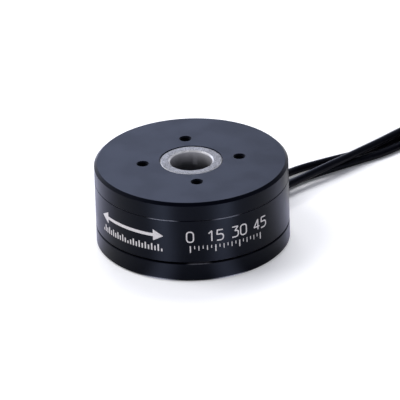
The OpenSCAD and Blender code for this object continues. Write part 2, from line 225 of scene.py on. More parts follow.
class TurnedLines(Effect):
    """Fine lines round the shaft's axis, as a lathe leaves them on faces and sides."""

    title = "turned_lines"
    inputs = {"Scale": 12000.0, "Broken": 0.3}

    def wire(self) -> Sequence[Socket]:
        """Look noise up by radius and height, and only slowly by angle.

        Returns:
            Height and Mask.
        """
        scale, broken = self.given
        x, y, z = self.xyz(self.at)
        slow = self.times(self.math("ARCTAN2", y, x), 0.0004, broken)
        ruled = self.add("ShaderNodeCombineXYZ", {0: self.radius(x, y), 1: z, 2: slow}).outputs[0]
        lines = self.noise(ruled, scale, 2.0, 0.6)
        return lines, self.remap(lines, 0.35, 0.65)


class Repeat(Effect):
    """A form that repeats at a pitch."""

    def phase(self, value: Socket) -> Socket:
        """Give a value's place in its repeat, from -0.5 to 0.5."""
        return self.minus(self.math("FRACT", self.math("DIVIDE", value, self.given[0])), 0.5)


class StackedSheets(Repeat):
    """Thin laminations on top of each other, with a dark joint between them."""

    title = "stacked_sheets"
    inputs = {"Pitch": 0.00035}

    def wire(self) -> Sequence[Socket]:
        """Repeat a narrow groove along the height.

        Returns:
            Height and Mask.
        """
        groove = self.remap(self.math("ABSOLUTE", self.phase(self.xyz(self.at)[2])), 0.5, 0.36)
        speck = self.remap(self.noise(self.at, 2500.0), 0.2, 0.6)
        return groove, self.times(groove, speck)


class WoundTurns(Repeat):
    """Round wires side by side, wound about each tooth of the core."""

    title = "wound_turns"
    inputs = {"Pitch": 0.00032}

    def wire(self) -> Sequence[Socket]:
        """Repeat a round ridge along the radius.

        Returns:
            Height and Mask.
        """
        x, y, _ = self.xyz(self.at)
        across = self.times(self.phase(self.radius(x, y)), 2.0)
        ridge = self.math("SQRT", self.minus(1.02, self.times(across, across)), clamp=True)
        tone = self.remap(self.noise(self.at, 1400.0, 3.0), 0.25, 0.7)
        return ridge, self.times(ridge, tone)


class MouldedSkin(Effect):
    """The faint flow marks and fine bloom of moulded or extruded plastic."""

    title = "moulded_skin"
    inputs = {"Scale": 1800.0}

    def wire(self) -> Sequence[Socket]:
        """Lay a fine noise over a broad one.

        Returns:
            Height and Mask.
        """
        broad = self.noise(self.at, self.times(self.given[0], 0.25))
        fine = self.noise(self.at, self.given[0], 4.0, 0.65)
        return self.math("ADD", self.times(broad, 0.6), self.times(fine, 0.4)), self.remap(fine, 0.35, 0.7)


class HandlingFilm(Effect):
    """A broad uneven film, from handling and cleaning, that changes the gloss a little."""

    title = "handling_film"
    inputs = {"Scale": 160.0}
    outputs = ("Film",)

    def wire(self) -> Sequence[Socket]:
        """Use one broad noise."""
        return [self.remap(self.noise(self.at, self.given[0], 3.0, 0.55), 0.3, 0.7)]


class EdgeWear(Effect):
    """A broken bright line where a coated edge has rubbed through."""

    title = "edge_wear"
    inputs = {"Radius": 0.00012, "Amount": 0.5, "Scale": 130.0}
    outputs = ("Wear",)

    def wire(self) -> Sequence[Socket]:
        """Find edges with a Bevel node and break them up with noise.

        Returns:
            Wear.
        """
        radius, amount, scale = self.given
        bevel = self.add("ShaderNodeBevel", {"Radius": radius}, samples=6).outputs[0]
        normal = self.add("ShaderNodeNewGeometry").outputs["Normal"]
        turned = self.add("ShaderNodeVectorMath", {0: bevel, 1: normal}, operation="DOT_PRODUCT").outputs["Value"]
        patch = self.remap(self.noise(self.at, scale), 0.5, 0.62)
        speck = self.remap(self.noise(self.at, 4000.0), 0.3, 0.55)
        return [self.times(self.remap(turned, 0.995, 0.93), patch, speck, amount)]


class PaintedArcHighlight(Effect):
    """A painted highlight: a lighter colour round part of a turned surface, between two heights, that stands in for a
    reflection.
    """

    title = "painted_arc_highlight"
    inputs = {"Azimuth": 0.0, "Half Width": 0.15, "Low": 0.0, "High": 1.0}
    outputs = ("Rub",)

    def wire(self) -> Sequence[Socket]:
        """Fade a band between two heights out to both sides of an azimuth.

        Returns:
            The painted highlight's mask.
        """
        azimuth, half, low, high = self.given
        x, y, z = self.xyz(self.at)
        aside = self.math("ABSOLUTE", self.minus(self.math("ARCTAN2", y, x), azimuth))
        arc = self.remap(aside, half, self.times(half, 0.4))
        speck = self.remap(self.noise(self.at, 2600.0), 0.25, 0.5, 0.5, 1.0)
        return [self.times(arc, self.math("GREATER_THAN", z, low), self.math("LESS_THAN", z, high), speck)]


class DepthFade(Effect):
    """How far down an opening a place lies, 1 at its mouth and 0 at some depth: the mask for painted light that falls
    into the opening.
    """

    title = "depth_fade"
    inputs = {"Mouth": 0.017, "Depth": 0.004}
    outputs = ("Fade",)

    def wire(self) -> Sequence[Socket]:
        """Fade with the depth below the mouth, a little unevenly.

        Returns:
            Fade.
        """
        mouth, depth = self.given
        below = self.math("DIVIDE", self.minus(mouth, self.xyz(self.at)[2]), depth)
        uneven = self.times(self.noise(self.at, 500.0), 0.3)
        left = self.remap(self.math("ADD", below, uneven), 1.1, 0.0)
        return [self.times(left, left)]


# Finishes


@dataclass(frozen=True)
class Layer:
    """A colour that shows over a finish where an effect's mask lets it."""

    effect: type[Effect]
    colour: Vec3
    values: dict[str, float]  # the effect's own inputs


def edge_wear(colour: Vec3, amount: float, radius: float, scale: float = 130.0) -> Layer:
    """Let edges rub through to a colour: how bright, how wide, and in how many patches a metre."""
    return Layer(EdgeWear, colour, {"Radius": radius * MM, "Amount": amount, "Scale": scale})


def painted_arc_highlight(azimuth: float, half: float, low: float, high: float, colour: Vec3) -> Layer:
    """Paint a highlight's colour between two heights, up to half degrees to each side of an azimuth."""
    return Layer(PaintedArcHighlight, colour, {"Azimuth": math.radians(azimuth), "Half Width": math.radians(half),
                                     "Low": low * MM, "High": high * MM})


def painted_mouth_light(mouth: float, depth: float, colour: Vec3) -> Layer:
    """Paint light into an opening, as a colour from the height of its mouth that fades out at some depth."""
    return Layer(DepthFade, colour, {"Mouth": mouth * MM, "Depth": depth * MM})


@dataclass(frozen=True)
class Finish:
    """One surface finish, from which a material is made."""

    title: str  # the material's name
    colour: Vec3  # the colour where the pattern's mask is 0
    second: Vec3  # the colour where the mask is 1
    roughness: float  # the shader's roughness on average
    spread: float  # how far roughness runs with the film
    pattern: type[Effect]  # the effect that gives height and mask
    values: dict[str, float]  # the pattern's own inputs
    depth: float  # height of the pattern's relief
    metallic: float = 0.0
    ior: float = 1.5
    tint: Vec3 = (1.0, 1.0, 1.0)  # colour of the reflection at normal incidence
    coat: float = 0.0  # weight of a clear coat
    layers: tuple[Layer, ...] = ()  # what shows over it in places

    def material(self) -> bpy.types.Material:
        """Find the material, or build it on first use.

        Returns:
            The material.
        """
        found = bpy.data.materials.get(self.title)
        if found:
            return found
        material = bpy.data.materials.new(self.title)
        material.use_nodes = True
        graph = Graph(material.node_tree)
        where = graph.add("ShaderNodeTexCoord").outputs["Object"]
        height, mask = self.pattern.place(graph, where, self.values)
        colour = graph.blend(mask, self.colour, self.second)
        for layer in self.layers:
            colour = graph.blend(layer.effect.place(graph, where, layer.values)[0], colour, layer.colour)
        film = HandlingFilm.place(graph, where, {})[0]
        low, high = self.roughness - self.spread / 2, self.roughness + self.spread / 2
        bump = graph.add("ShaderNodeBump", {"Distance": self.depth * MM, "Height": height})
        graph.surface({"Base Color": colour, "Roughness": graph.remap(film, 0.0, 1.0, low, high),
                       "Metallic": self.metallic, "IOR": self.ior, "Specular Tint": self.tint,
                       "Coat Weight": self.coat, "Normal": bump.outputs[0]})
        material.diffuse_color = (*self.colour, 1.0)
        return material


ANODISED = Finish("black_anodised_aluminium", (0.0007, 0.0009, 0.0026), (0.0014, 0.0018, 0.0042), 0.33, 0.05,
                  BlastedGrain, {"Scale": 9000.0, "Pits": 0.3}, 0.0012, ior=1.2, tint=(0.76, 0.84, 1.0),
                  layers=(edge_wear((0.16, 0.16, 0.18), 0.5, 0.08),))
# The base's rim carries a painted highlight at the front of its top edge.
BASE_ANODISED = replace(ANODISED, title="anodised_base", roughness=0.30,
                        layers=(*ANODISED.layers, painted_arc_highlight(-87.0, 8.5, 3.93, 4.2, (0.08, 0.08, 0.092))))
# The flux ring's top edge carries two painted highlights at its front.
BLACK_STEEL = Finish("blackened_steel", (0.0008, 0.0010, 0.0028), (0.0016, 0.0020, 0.0046), 0.30, 0.05,
                     TurnedLines, {"Scale": 16000.0, "Broken": 0.5}, 0.0010, ior=1.2, tint=(0.76, 0.84, 1.0),
                     layers=(edge_wear((0.2, 0.2, 0.22), 0.6, 0.08),
                             painted_arc_highlight(-108.0, 11.0, 13.76, 14.0, (0.24, 0.25, 0.30)),
                             painted_arc_highlight(-70.0, 10.0, 13.76, 14.0, (0.24, 0.25, 0.30))))
# The shaft's outer edge carries a painted glint at its front.
SHAFT_METAL = Finish("blasted_shaft", (0.21, 0.195, 0.169), (0.47, 0.44, 0.382), 0.56, 0.08,
                     BlastedGrain, {"Scale": 4200.0, "Pits": 0.8}, 0.014, metallic=1.0,
                     layers=(painted_arc_highlight(-106.0, 16.0, 17.55, 17.712, (0.85, 0.85, 0.86)),))
# Lighter chamfers at the shaft's rims: partly a turned edge's own brightness, partly a painted highlight.
BRIGHT_LIP = Finish("turned_lip", (0.62, 0.61, 0.61), (0.78, 0.77, 0.77), 0.28, 0.06,
                    TurnedLines, {"Scale": 12000.0, "Broken": 0.4}, 0.001, metallic=0.4)
# The bore: a painted highlight streak on its back wall, and painted light near its mouth that fades to its dark colour
# deeper down, for how light falls into it.
REAMED_BORE = Finish("reamed_bore", (0.036, 0.036, 0.039), (0.062, 0.062, 0.066), 0.40, 0.08,
                     TurnedLines, {"Scale": 9000.0, "Broken": 0.6}, 0.002, metallic=0.25,
                     layers=(painted_arc_highlight(79.0, 9.0, 14.6, 17.5, (0.17, 0.17, 0.18)),
                             painted_mouth_light(17.5, 4.6, (0.66, 0.65, 0.68))))
CORE_STEEL = Finish("laminated_core", (0.34, 0.35, 0.37), (0.05, 0.05, 0.055), 0.42, 0.1,
                    StackedSheets, {"Pitch": 0.00035}, 0.02, metallic=1.0)
INSULATION = Finish("end_plate_resin", (0.72, 0.69, 0.56), (0.66, 0.62, 0.49), 0.55, 0.1,
                    MouldedSkin, {"Scale": 1800.0}, 0.01)
MAGNET_WIRE = Finish("enamelled_copper", (0.28, 0.075, 0.02), (0.62, 0.24, 0.09), 0.3, 0.1,
                     WoundTurns, {"Pitch": 0.00032}, 0.08, metallic=1.0, coat=0.5)
SLEEVE = Finish("shrunk_sleeve", (0.018, 0.018, 0.02), (0.032, 0.032, 0.035), 0.5, 0.1,
                MouldedSkin, {"Scale": 2600.0}, 0.012)
BEARING_STEEL = Finish("ground_bearing_steel", (0.50, 0.51, 0.53), (0.60, 0.61, 0.63), 0.24, 0.08,
                       TurnedLines, {"Scale": 18000.0, "Broken": 0.4}, 0.0015, metallic=1.0)
SHIELD_STEEL = Finish("pressed_shield", (0.42, 0.43, 0.45), (0.54, 0.55, 0.57), 0.34, 0.1,
                      TurnedLines, {"Scale": 9000.0, "Broken": 0.8}, 0.003, metallic=1.0)
BALL_STEEL = Finish("lapped_ball", (0.72, 0.73, 0.75), (0.78, 0.79, 0.81), 0.07, 0.03,
                    BlastedGrain, {"Scale": 3000.0, "Pits": 0.1}, 0.0002, metallic=1.0)
CAGE_BRASS = Finish("cage_brass", (0.52, 0.34, 0.1), (0.66, 0.46, 0.17), 0.3, 0.1,
                    TurnedLines, {"Scale": 9000.0, "Broken": 0.6}, 0.002, metallic=1.0)
SPRING_STEEL = Finish("phosphated_spring_steel", (0.05, 0.05, 0.055), (0.1, 0.1, 0.105), 0.42, 0.1,
                      BlastedGrain, {"Scale": 6000.0, "Pits": 0.5}, 0.003, metallic=1.0,
                      layers=(edge_wear((0.45, 0.45, 0.46), 0.5, 0.06, 300.0),))
MAGNET = Finish("nickel_plating", (0.48, 0.49, 0.5), (0.56, 0.56, 0.57), 0.2, 0.08,
                BlastedGrain, {"Scale": 2500.0, "Pits": 0.2}, 0.002, metallic=1.0)
LEAD_RUBBER = Finish("lead_insulation", (0.0012, 0.0013, 0.0028), (0.0026, 0.0028, 0.0050), 0.34, 0.06,
                     MouldedSkin, {"Scale": 1500.0}, 0.001, ior=1.18, tint=(0.8, 0.86, 1.0))
TIE_PLASTIC = Finish("tie_plastic", (0.018, 0.018, 0.02), (0.03, 0.03, 0.033), 0.4, 0.1,
                     MouldedSkin, {"Scale": 2000.0}, 0.008)
TINNED = Finish("tinned_strands", (0.6, 0.6, 0.58), (0.75, 0.75, 0.73), 0.26, 0.1,
                BlastedGrain, {"Scale": 5000.0, "Pits": 0.3}, 0.003, metallic=1.0)
ETCHED = Finish("etched_marks", (0.55, 0.52, 0.52), (0.74, 0.71, 0.70), 0.55, 0.1,
                BlastedGrain, {"Scale": 6000.0, "Pits": 0.3}, 0.002)

SLOT_FINISHES: dict[str, Finish] = {
    "black_anodised": ANODISED, "black_steel": BLACK_STEEL, "shaft_metal": SHAFT_METAL,
    "core_steel": CORE_STEEL, "insulation": INSULATION, "magnet_wire": MAGNET_WIRE,
    "sleeve_plastic": SLEEVE, "bearing_steel": BEARING_STEEL, "shield_steel": SHIELD_STEEL,
    "ball_steel": BALL_STEEL, "cage_brass": CAGE_BRASS, "spring_steel": SPRING_STEEL,
    "magnet": MAGNET, "lead_rubber": LEAD_RUBBER, "tie_plastic": TIE_PLASTIC, "tinned_wire": TINNED,
}


# Meshes


def add_object(name: str, data: bpy.types.ID) -> Object:
    """Put an object in the scene.

    Args:
        name: its name.
        data: its mesh, curve, lamp or camera.

    Returns:
        The new object.
    """
    made = bpy.data.objects.new(name, data)
    bpy.context.scene.collection.objects.link(made)
    return made


def place_piece(name: str, data: Mesh | bpy.types.Curve, body: Body, finish: Finish, slot: str, *nodes: str) -> Object:
    """Put a mesh or curve in the scene as a piece of the motor.

    Args:
        name: the piece's name.
        data: its mesh or curve, in metres in the part's frame.
        body: the body that it rides on.
        finish: its finish.
        slot: the record's material slot; not used.
        nodes: CAD nodes that it stands for.

    Returns:
        The new object.
    """
    piece = add_object(name, data)
    data.materials.clear()
    data.materials.append(finish.material())
    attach(piece, body.value)
    if nodes:
        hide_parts(*nodes)
    return piece


def spot(angle: float, out: float, across: float = 0.0, x: float = 0.0, y: float = 0.0) -> Vec2:
    """Go out from a middle, x and y, at an angle, then across to the left."""
    c, s = math.cos(angle), math.sin(angle)
    return x + out * c - across * s, y + out * s + across * c


def shares(steps: int) -> list[float]:
    """Divide the way from 0 to 1 into equal steps."""
    return [i / steps for i in range(steps + 1)]


def skin(work: BMesh, rings: Iterable[Iterable[Vec3]], joined: bool = False, capped: bool = True) -> None:
    """Skin a row of closed rings of points with quads.

    Args:
        work: the mesh that they are added to.
        rings: the points in millimetres, as many in each ring.
        joined: whether the last ring joins the first.
        capped: whether a face closes the first and the last ring where they don't join.
    """
    rows = [[work.verts.new(Vector(p) * MM) for p in ring] for ring in rings]
    for one, two in zip(rows, rows[1:] + rows[:1] if joined else rows[1:]):
        for k in range(len(one)):
            j = (k + 1) % len(one)
            work.faces.new((one[k], one[j], two[j], two[k]))
    if capped and not joined:
        work.faces.new(rows[0])
        work.faces.new(rows[-1])


def finished_mesh(name: str, work: BMesh) -> Mesh:
    """Turn a work mesh's faces outwards, and free it.

    Args:
        name: the new mesh's name.
        work: the work mesh.

    Returns:
        The new mesh.
    """
    bmesh.ops.recalc_face_normals(work, faces=work.faces)
    mesh = bpy.data.meshes.new(name)
    work.to_mesh(mesh)
    work.free()
    return mesh


def ring_mesh(name: str, rings: Iterable[Iterable[Vec3]], joined: bool = False) -> Mesh:
    """Skin closed rings of points as a closed mesh of their own.

    Args:
        name: the mesh's name.
        rings: the points in millimetres, as many in each ring.
        joined: whether the last ring joins the first.

    Returns:
        The mesh.
    """
    work = bmesh.new()
    skin(work, rings, joined)
    return finished_mesh(name, work)


def fillet_line(points: Sequence[Vec3], closed: bool, steps: int = 4) -> list[Vec2]:
    """Round the corners of a flat line.

    Args:
        points: corners as (a, b, radius), where radius 0 keeps the corner sharp.
        closed: whether the last corner joins the first.
        steps: straight pieces in each arc.

    Returns:
        The rounded line's points.
    """
    line: list[Vec2] = []
    count = len(points)
    for i, (a, b, radius) in enumerate(points):
        here = Vector((a, b))
        if radius <= 0 or (not closed and i in (0, count - 1)):
            line.append((a, b))
            continue
        back = Vector(points[i - 1][:2]) - here
        ahead = Vector(points[(i + 1) % count][:2]) - here
        half = back.angle(ahead) / 2
        reach = min(radius / math.tan(half), 0.49 * back.length, 0.49 * ahead.length)
        bend = reach * math.tan(half)
        middle = here + (back.normalized() + ahead.normalized()).normalized() * (bend / math.sin(half))
        start = here + back.normalized() * reach - middle
        sweep = start.angle_signed(here + ahead.normalized() * reach - middle)
        line += [spot(-sweep * t, *start, *middle) for t in shares(steps)]
    return line


def lathe(name: str, section: Sequence[Vec3], sides: int = 240) -> Mesh:
    """Turn a closed section, with corners as (radius, height, fillet), about the shaft's axis."""
    line = fillet_line(section, closed=True)
    return ring_mesh(name, ([(*spot(TAU * k / sides, r), z) for r, z in line] for k in range(sides)), joined=True)


def smooth_edges(mesh: Mesh, limit: float = 32.0) -> None:
    """Shade a mesh smooth but for edges sharper than a limit in degrees."""
    mesh.shade_smooth()
    mesh.set_sharp_from_angle(angle=math.radians(limit))


def turned_piece(name: str, mesh: Mesh, body: Body, finish: Finish, slot: str, node: str) -> Object:
    """Place a turned piece, and let its large faces lead the shading, so that flats stay flat beside fillets.

    Args:
        name: the piece's name.
        mesh: its mesh.
        body: the body that it rides on.
        finish: its finish.
        slot: the record's material slot.
        node: the CAD node that it stands for.

    Returns:
        The new object.
    """
    smooth_edges(mesh)
    piece = place_piece(name, mesh, body, finish, slot, node)
    weighted = piece.modifiers.new("even_normals", "WEIGHTED_NORMAL")
    weighted.keep_sharp, weighted.weight = True, 80
    return piece


def combine(mesh: Mesh, others: Sequence[Mesh], operation: str) -> Mesh:
    """Cut closed meshes out of a mesh, or join them to it.

    Args:
        mesh: the mesh to work on.
        others: the meshes to cut or join.
        operation: the Boolean modifier's operation.

    Returns:
        The new mesh, under the first one's name.
    """
    work = add_object("work", mesh)
    tools = [add_object(f"tool_{i}", other) for i, other in enumerate(others)]
    for tool in tools:
        step = work.modifiers.new(tool.name, "BOOLEAN")
        step.operation, step.solver, step.object = operation, "EXACT", tool
    evaluated = work.evaluated_get(bpy.context.evaluated_depsgraph_get())
    made = bpy.data.meshes.new_from_object(evaluated)
    for item in (work, *tools):
        bpy.data.objects.remove(item)
    made.name = mesh.name
    return made


@dataclass(frozen=True)
class HoleCircle:
    """Equal holes on a circle, each with a coarse metric thread and a small countersink."""

    circle: float  # the circle's diameter
    count: int  # how many holes
    first: float  # angle of the first one in degrees
    major: float = 2.5  # the thread's nominal diameter
    pitch: float = 0.45  # distance between turns
    sink: float = 0.05  # how far the countersink reaches beyond the thread
    depth: float = 0.460105  # the thread's depth in pitches
    flat: float = 0.1  # share of half a turn that is flat at the nominal diameter
    flank: float = 0.75  # share of half a turn that a flank takes
    past: float = 0.4  # how far a cutter stands out at both ends
    steps: int = 8  # rows in each turn
    sides: int = 40  # flats round a hole

    def places(self) -> list[Vec2]:
        """Give the middle of each hole."""
        return [spot(math.radians(self.first + 360 * i / self.count), self.circle / 2) for i in range(self.count)]

    def radius(self, down: float, around: float) -> float:
        """Give a hole's radius.

        Args:
            down: depth below its mouth.
            around: share of a turn round its axis.

        Returns:
            The radius there, with thread and countersink.
        """
        phase = (down / self.pitch + around) % 1.0
        tooth = min(1.0, max(0.0, (abs(phase - 0.5) * 2 - self.flat) / self.flank))
        return self.major / 2 + max(-self.depth * self.pitch * tooth, self.sink - max(0.0, down))

    def cutters(self, mouth: float, end: float) -> list[Mesh]:
        """Make a closed mesh that cuts each hole.

        Args:
            mouth: height of the face that the holes start from.
            end: height where they break out.

        Returns:
            The cutters.
        """
        inward = 1.0 if end > mouth else -1.0
        rows = int((abs(end - mouth) + 2 * self.past) / self.pitch * self.steps)
        downs = [-self.past + i * self.pitch / self.steps for i in range(rows + 1)]
        return [ring_mesh("cutter", ([(*spot(TAU * t, self.radius(down, t), 0.0, x, y), mouth + inward * down)
                                      for t in shares(self.sides)[:-1]] for down in downs)) for x, y in self.places()]


# Sub-assemblies


@dataclass
class RotorShell:
    """The turned cap and the flux ring, which are most of what the motor shows."""

    radius: float = 20.0  # outside radius of the motor
    ring_low: float = 4.4  # height of the ring's lower edge
    ring_high: float = 13.9  # height where the cap meets the ring
    top: float = 17.8  # height of the cap's face
    chamfer: float = 0.6  # the cap's outer chamfer
    edge: float = 0.12  # small chamfers where the pieces meet
    soft: float = 0.05  # fillet that breaks the cap's edges
    ring_in: float = 18.8  # inside radius of the ring
    fit: float = 0.02  # radial gap of glued parts
    holes: HoleCircle = field(default_factory=lambda: HoleCircle(20.0, 4, 6.0))
    plate: float = 2.9  # thickness of the cap's plate
    boss_radius: float = 8.5  # radius of the boss under the cap
    boss_low: float = 13.6  # height of the boss's lower face
    bore: float = 6.37  # radius of the cap's bore
    bore_break: float = 0.2  # chamfer at the bore's mouth
    lip: float = 0.8  # depth of the cap's locating lip
    lip_wall: float = 1.0  # thickness of that lip

    def cap(self) -> Object:
        """Turn the cap, then cut its four threaded holes.

        Returns:
            The cap.
        """
        r, e, s = self.radius, self.edge, self.soft
        under = self.top - self.plate
        lip_out = self.ring_in - self.fit
        section = [
            (self.bore, self.boss_low, 0.03), (self.boss_radius, self.boss_low, 0.1),
            (self.boss_radius, under, 0.2), (lip_out - self.lip_wall, under, 0.2),
            (lip_out - self.lip_wall, self.ring_high - self.lip, s), (lip_out, self.ring_high - self.lip, s),
            (lip_out, self.ring_high, 0.0), (r - e, self.ring_high, 0.02), (r, self.ring_high + e, 0.03),
            (r, self.top - self.chamfer, s), (r - self.chamfer, self.top, s),
            (self.bore + self.bore_break, self.top, 0.03), (self.bore, self.top - self.bore_break, 0.03),
        ]
        mesh = combine(lathe("top_cap", section), self.holes.cutters(self.top, under), "DIFFERENCE")
        return turned_piece("cap_with_threaded_holes", mesh, Body.ROTOR, ANODISED, "black_anodised", "top_cap")

    def ring(self) -> Object:
        """Turn the flux ring.

        Returns:
            The ring.
        """
        r, e = self.radius, self.edge
        mesh = lathe("flux_ring", [
            (self.ring_in, self.ring_low, 0.05), (r - e, self.ring_low, 0.02), (r, self.ring_low + e, 0.03),
            (r, self.ring_high - e, 0.03), (r - e, self.ring_high, 0.02), (self.ring_in, self.ring_high, 0.0),
        ])
        return turned_piece("turned_flux_ring", mesh, Body.ROTOR, BLACK_STEEL, "black_steel", "flux_ring")

    def build(self) -> list[Object]:
        """Build the cap and the ring."""
        return [self.cap(), self.ring()]


@dataclass
class HollowShaft:
    """The shaft, whose open end shows in the middle of the cap."""

    bore: float = 4.35  # radius of the bore
    journal: float = 5.98  # radius that the bearings sit on
    head: float = 6.35  # radius of the pressed-in head
    head_low: float = 13.2  # height where the head begins
    bottom: float = 0.15  # height of its lower end
    top: float = 17.72  # height of its upper end
    edge: float = 0.1  # chamfer at its outer edges
    mouth: float = 0.3  # chamfer at the bore's two ends
    groove: Vec2 = (0.67, 1.53)  # lower and upper height of the clip's groove
    groove_depth: float = 0.28  # depth of that groove
    sides: int = 160  # flats round the axis

    def build(self) -> list[Object]:
        """Turn the shaft, with a reamed bore and bright edges, whose lighter colour is partly a painted highlight.

        Returns:
            The shaft, as a list of one.
        """
        low, high = self.groove
        inner = self.journal - self.groove_depth
        mesh = lathe("hollow_shaft", [
            (self.bore + self.mouth, self.bottom, 0.05), (self.journal - self.edge, self.bottom, 0.03),
            (self.journal, self.bottom + self.edge, 0.03), (self.journal, low, 0.02), (inner, low, 0.02),
            (inner, high, 0.02), (self.journal, high, 0.02), (self.journal, self.head_low, 0.05),
            (self.head, self.head_low, 0.05), (self.head, self.top - self.edge, 0.03),
            (self.head - self.edge, self.top, 0.03), (self.bore + self.mouth, self.top, 0.08),
            (self.bore, self.top - self.mouth, 0.08), (self.bore, self.bottom + self.mouth, 0.05),
        ], self.sides)
        shaft = turned_piece("blasted_hollow_shaft", mesh, Body.ROTOR, SHAFT_METAL, "shaft_metal", "hollow_shaft")
        mesh.materials.append(REAMED_BORE.material())
        mesh.materials.append(BRIGHT_LIP.material())
        slack = 0.02
        for face in mesh.polygons:
            radius, height = Vector(face.center[:2]).length / MM, face.center.z / MM
            at_rim = radius > self.head - self.edge + slack / 2 and height > self.top - self.edge - slack
            if radius < self.bore + slack:
                face.material_index = 1
            elif radius < self.bore + self.mouth or at_rim:
                face.material_index = 2
        return [shaft]


@dataclass
class BaseShell:
    """The base: floor, rim, bearing tube, four bosses and the leads' window."""

    radius: float = 20.0  # outside radius
    high: float = 4.1  # height of the rim
    floor: float = 1.6  # thickness of the floor
    chamfer: float = 0.5  # chamfer at the foot
    rim_break: float = 0.15  # chamfer at the rim's edge
    wall_in: float = 18.8  # inside radius of the rim
    step: float = 11.12  # radius of the step under the core
    seat: float = 5.8  # height of the core's seat
    tube: float = 10.25  # outside radius of the bearing tube
    tube_top: float = 13.2  # height of that tube
    race: float = 9.02  # radius of the bearing seats
    race_break: float = 0.28  # chamfer at the lower seat's mouth
    shoulder: float = 8.3  # radius between the seats
    seats: Vec2 = (5.7, 9.2)  # heights of the shoulder's two faces
    holes: HoleCircle = field(default_factory=lambda: HoleCircle(25.0, 4, 91.0))
    boss: float = 2.5  # radius of the bosses round the holes
    boss_top: float = 3.2  # height of the bosses
    boss_round: Vec2 = (0.2, 0.06)  # reach of their rounded top edge, and of its middle
    exit_angle: float = 46.0  # direction of the leads' window
    window: Vec3 = (0.905, 2.575, 1.75)  # radius, height and pitch of the window's three lobes
    past: float = 0.6  # how far the window's cutter stands out of the rim
    sides: int = 48  # flats round the window and the bosses

    def window_cutter(self) -> Mesh:
        """Build the long round-ended plug that cuts the window.

        Returns:
            The cutter's mesh.
        """
        radius, height, pitch = self.window
        rim = [(math.cos(t), math.sin(t)) for t in (TAU * (k + 0.5) / self.sides for k in range(self.sides))]
        rings = [[(*spot(math.radians(self.exit_angle), out, radius * c + math.copysign(pitch, c)), height + radius * s)
                  for c, s in rim] for out in (self.wall_in - self.past, self.radius + self.past)]
        return ring_mesh("window", rings)

    def boss_mesh(self, x: float, y: float) -> Mesh:
        """Build one boss with a rounded top edge.

        Args:
            x: place in the plane.
            y: place in the plane.

        Returns:
            The boss's closed mesh.
        """
        reach, middle = self.boss_round
        side = [(self.boss, self.floor / 2), (self.boss, self.boss_top - reach),
                (self.boss - middle, self.boss_top - middle), (self.boss - reach, self.boss_top)]
        return ring_mesh("boss", ([(*spot(TAU * k / self.sides, r, 0.0, x, y), z) for k in range(self.sides)]
                                  for r, z in side))

    def build(self) -> list[Object]:
        """Turn the base, add its bosses and cut its holes.

        Returns:
            The base, as a list of one.
        """
        low, high = self.seats
        body = lathe("base", [
            (self.race + self.race_break, 0.0, 0.04), (self.radius - self.chamfer, 0.0, 0.05),
            (self.radius, self.chamfer, 0.06), (self.radius, self.high - self.rim_break, 0.04),
            (self.radius - self.rim_break, self.high, 0.03), (self.wall_in, self.high, 0.05),
            (self.wall_in, self.floor, 0.3), (self.step, self.floor, 0.2), (self.step, self.seat, 0.05),
            (self.tube, self.seat, 0.02), (self.tube, self.tube_top, 0.1), (self.race, self.tube_top, 0.05),
            (self.race, high, 0.02), (self.shoulder, high, 0.05), (self.shoulder, low, 0.05),
            (self.race, low, 0.02), (self.race, self.race_break, 0.04),
        ])
        body = combine(body, [self.boss_mesh(x, y) for x, y in self.holes.places()], "UNION")
        body = combine(body, [*self.holes.cutters(0.0, self.boss_top), self.window_cutter()], "DIFFERENCE")
        return [turned_piece("turned_base", body, Body.STATOR, BASE_ANODISED, "black_anodised", "base")]


class Mark(Enum):
    """Plain strokes for the ring's degree scale, on a grid one unit high, as (x, y, rounding)."""

    ZERO = ((0.0, 0.0, 0.26), (0.6, 0.0, 0.26), (0.6, 1.0, 0.26), (0.0, 1.0, 0.26))
    ONE = ((0.1, 0.76, 0.0), (0.38, 1.0, 0.02), (0.38, 0.0, 0.0))
    THREE = ((0.02, 1.0, 0.0), (0.58, 1.0, 0.03), (0.26, 0.6, 0.03), (0.6, 0.6, 0.24), (0.6, 0.0, 0.26),
             (0.0, 0.0, 0.0))
    FOUR = ((0.46, 0.0, 0.0), (0.46, 1.0, 0.02), (0.0, 0.28, 0.04), (0.64, 0.28, 0.0))
    FIVE = ((0.56, 1.0, 0.0), (0.05, 1.0, 0.03), (0.02, 0.58, 0.03), (0.6, 0.6, 0.24), (0.6, 0.0, 0.26),
            (0.0, 0.0, 0.0))


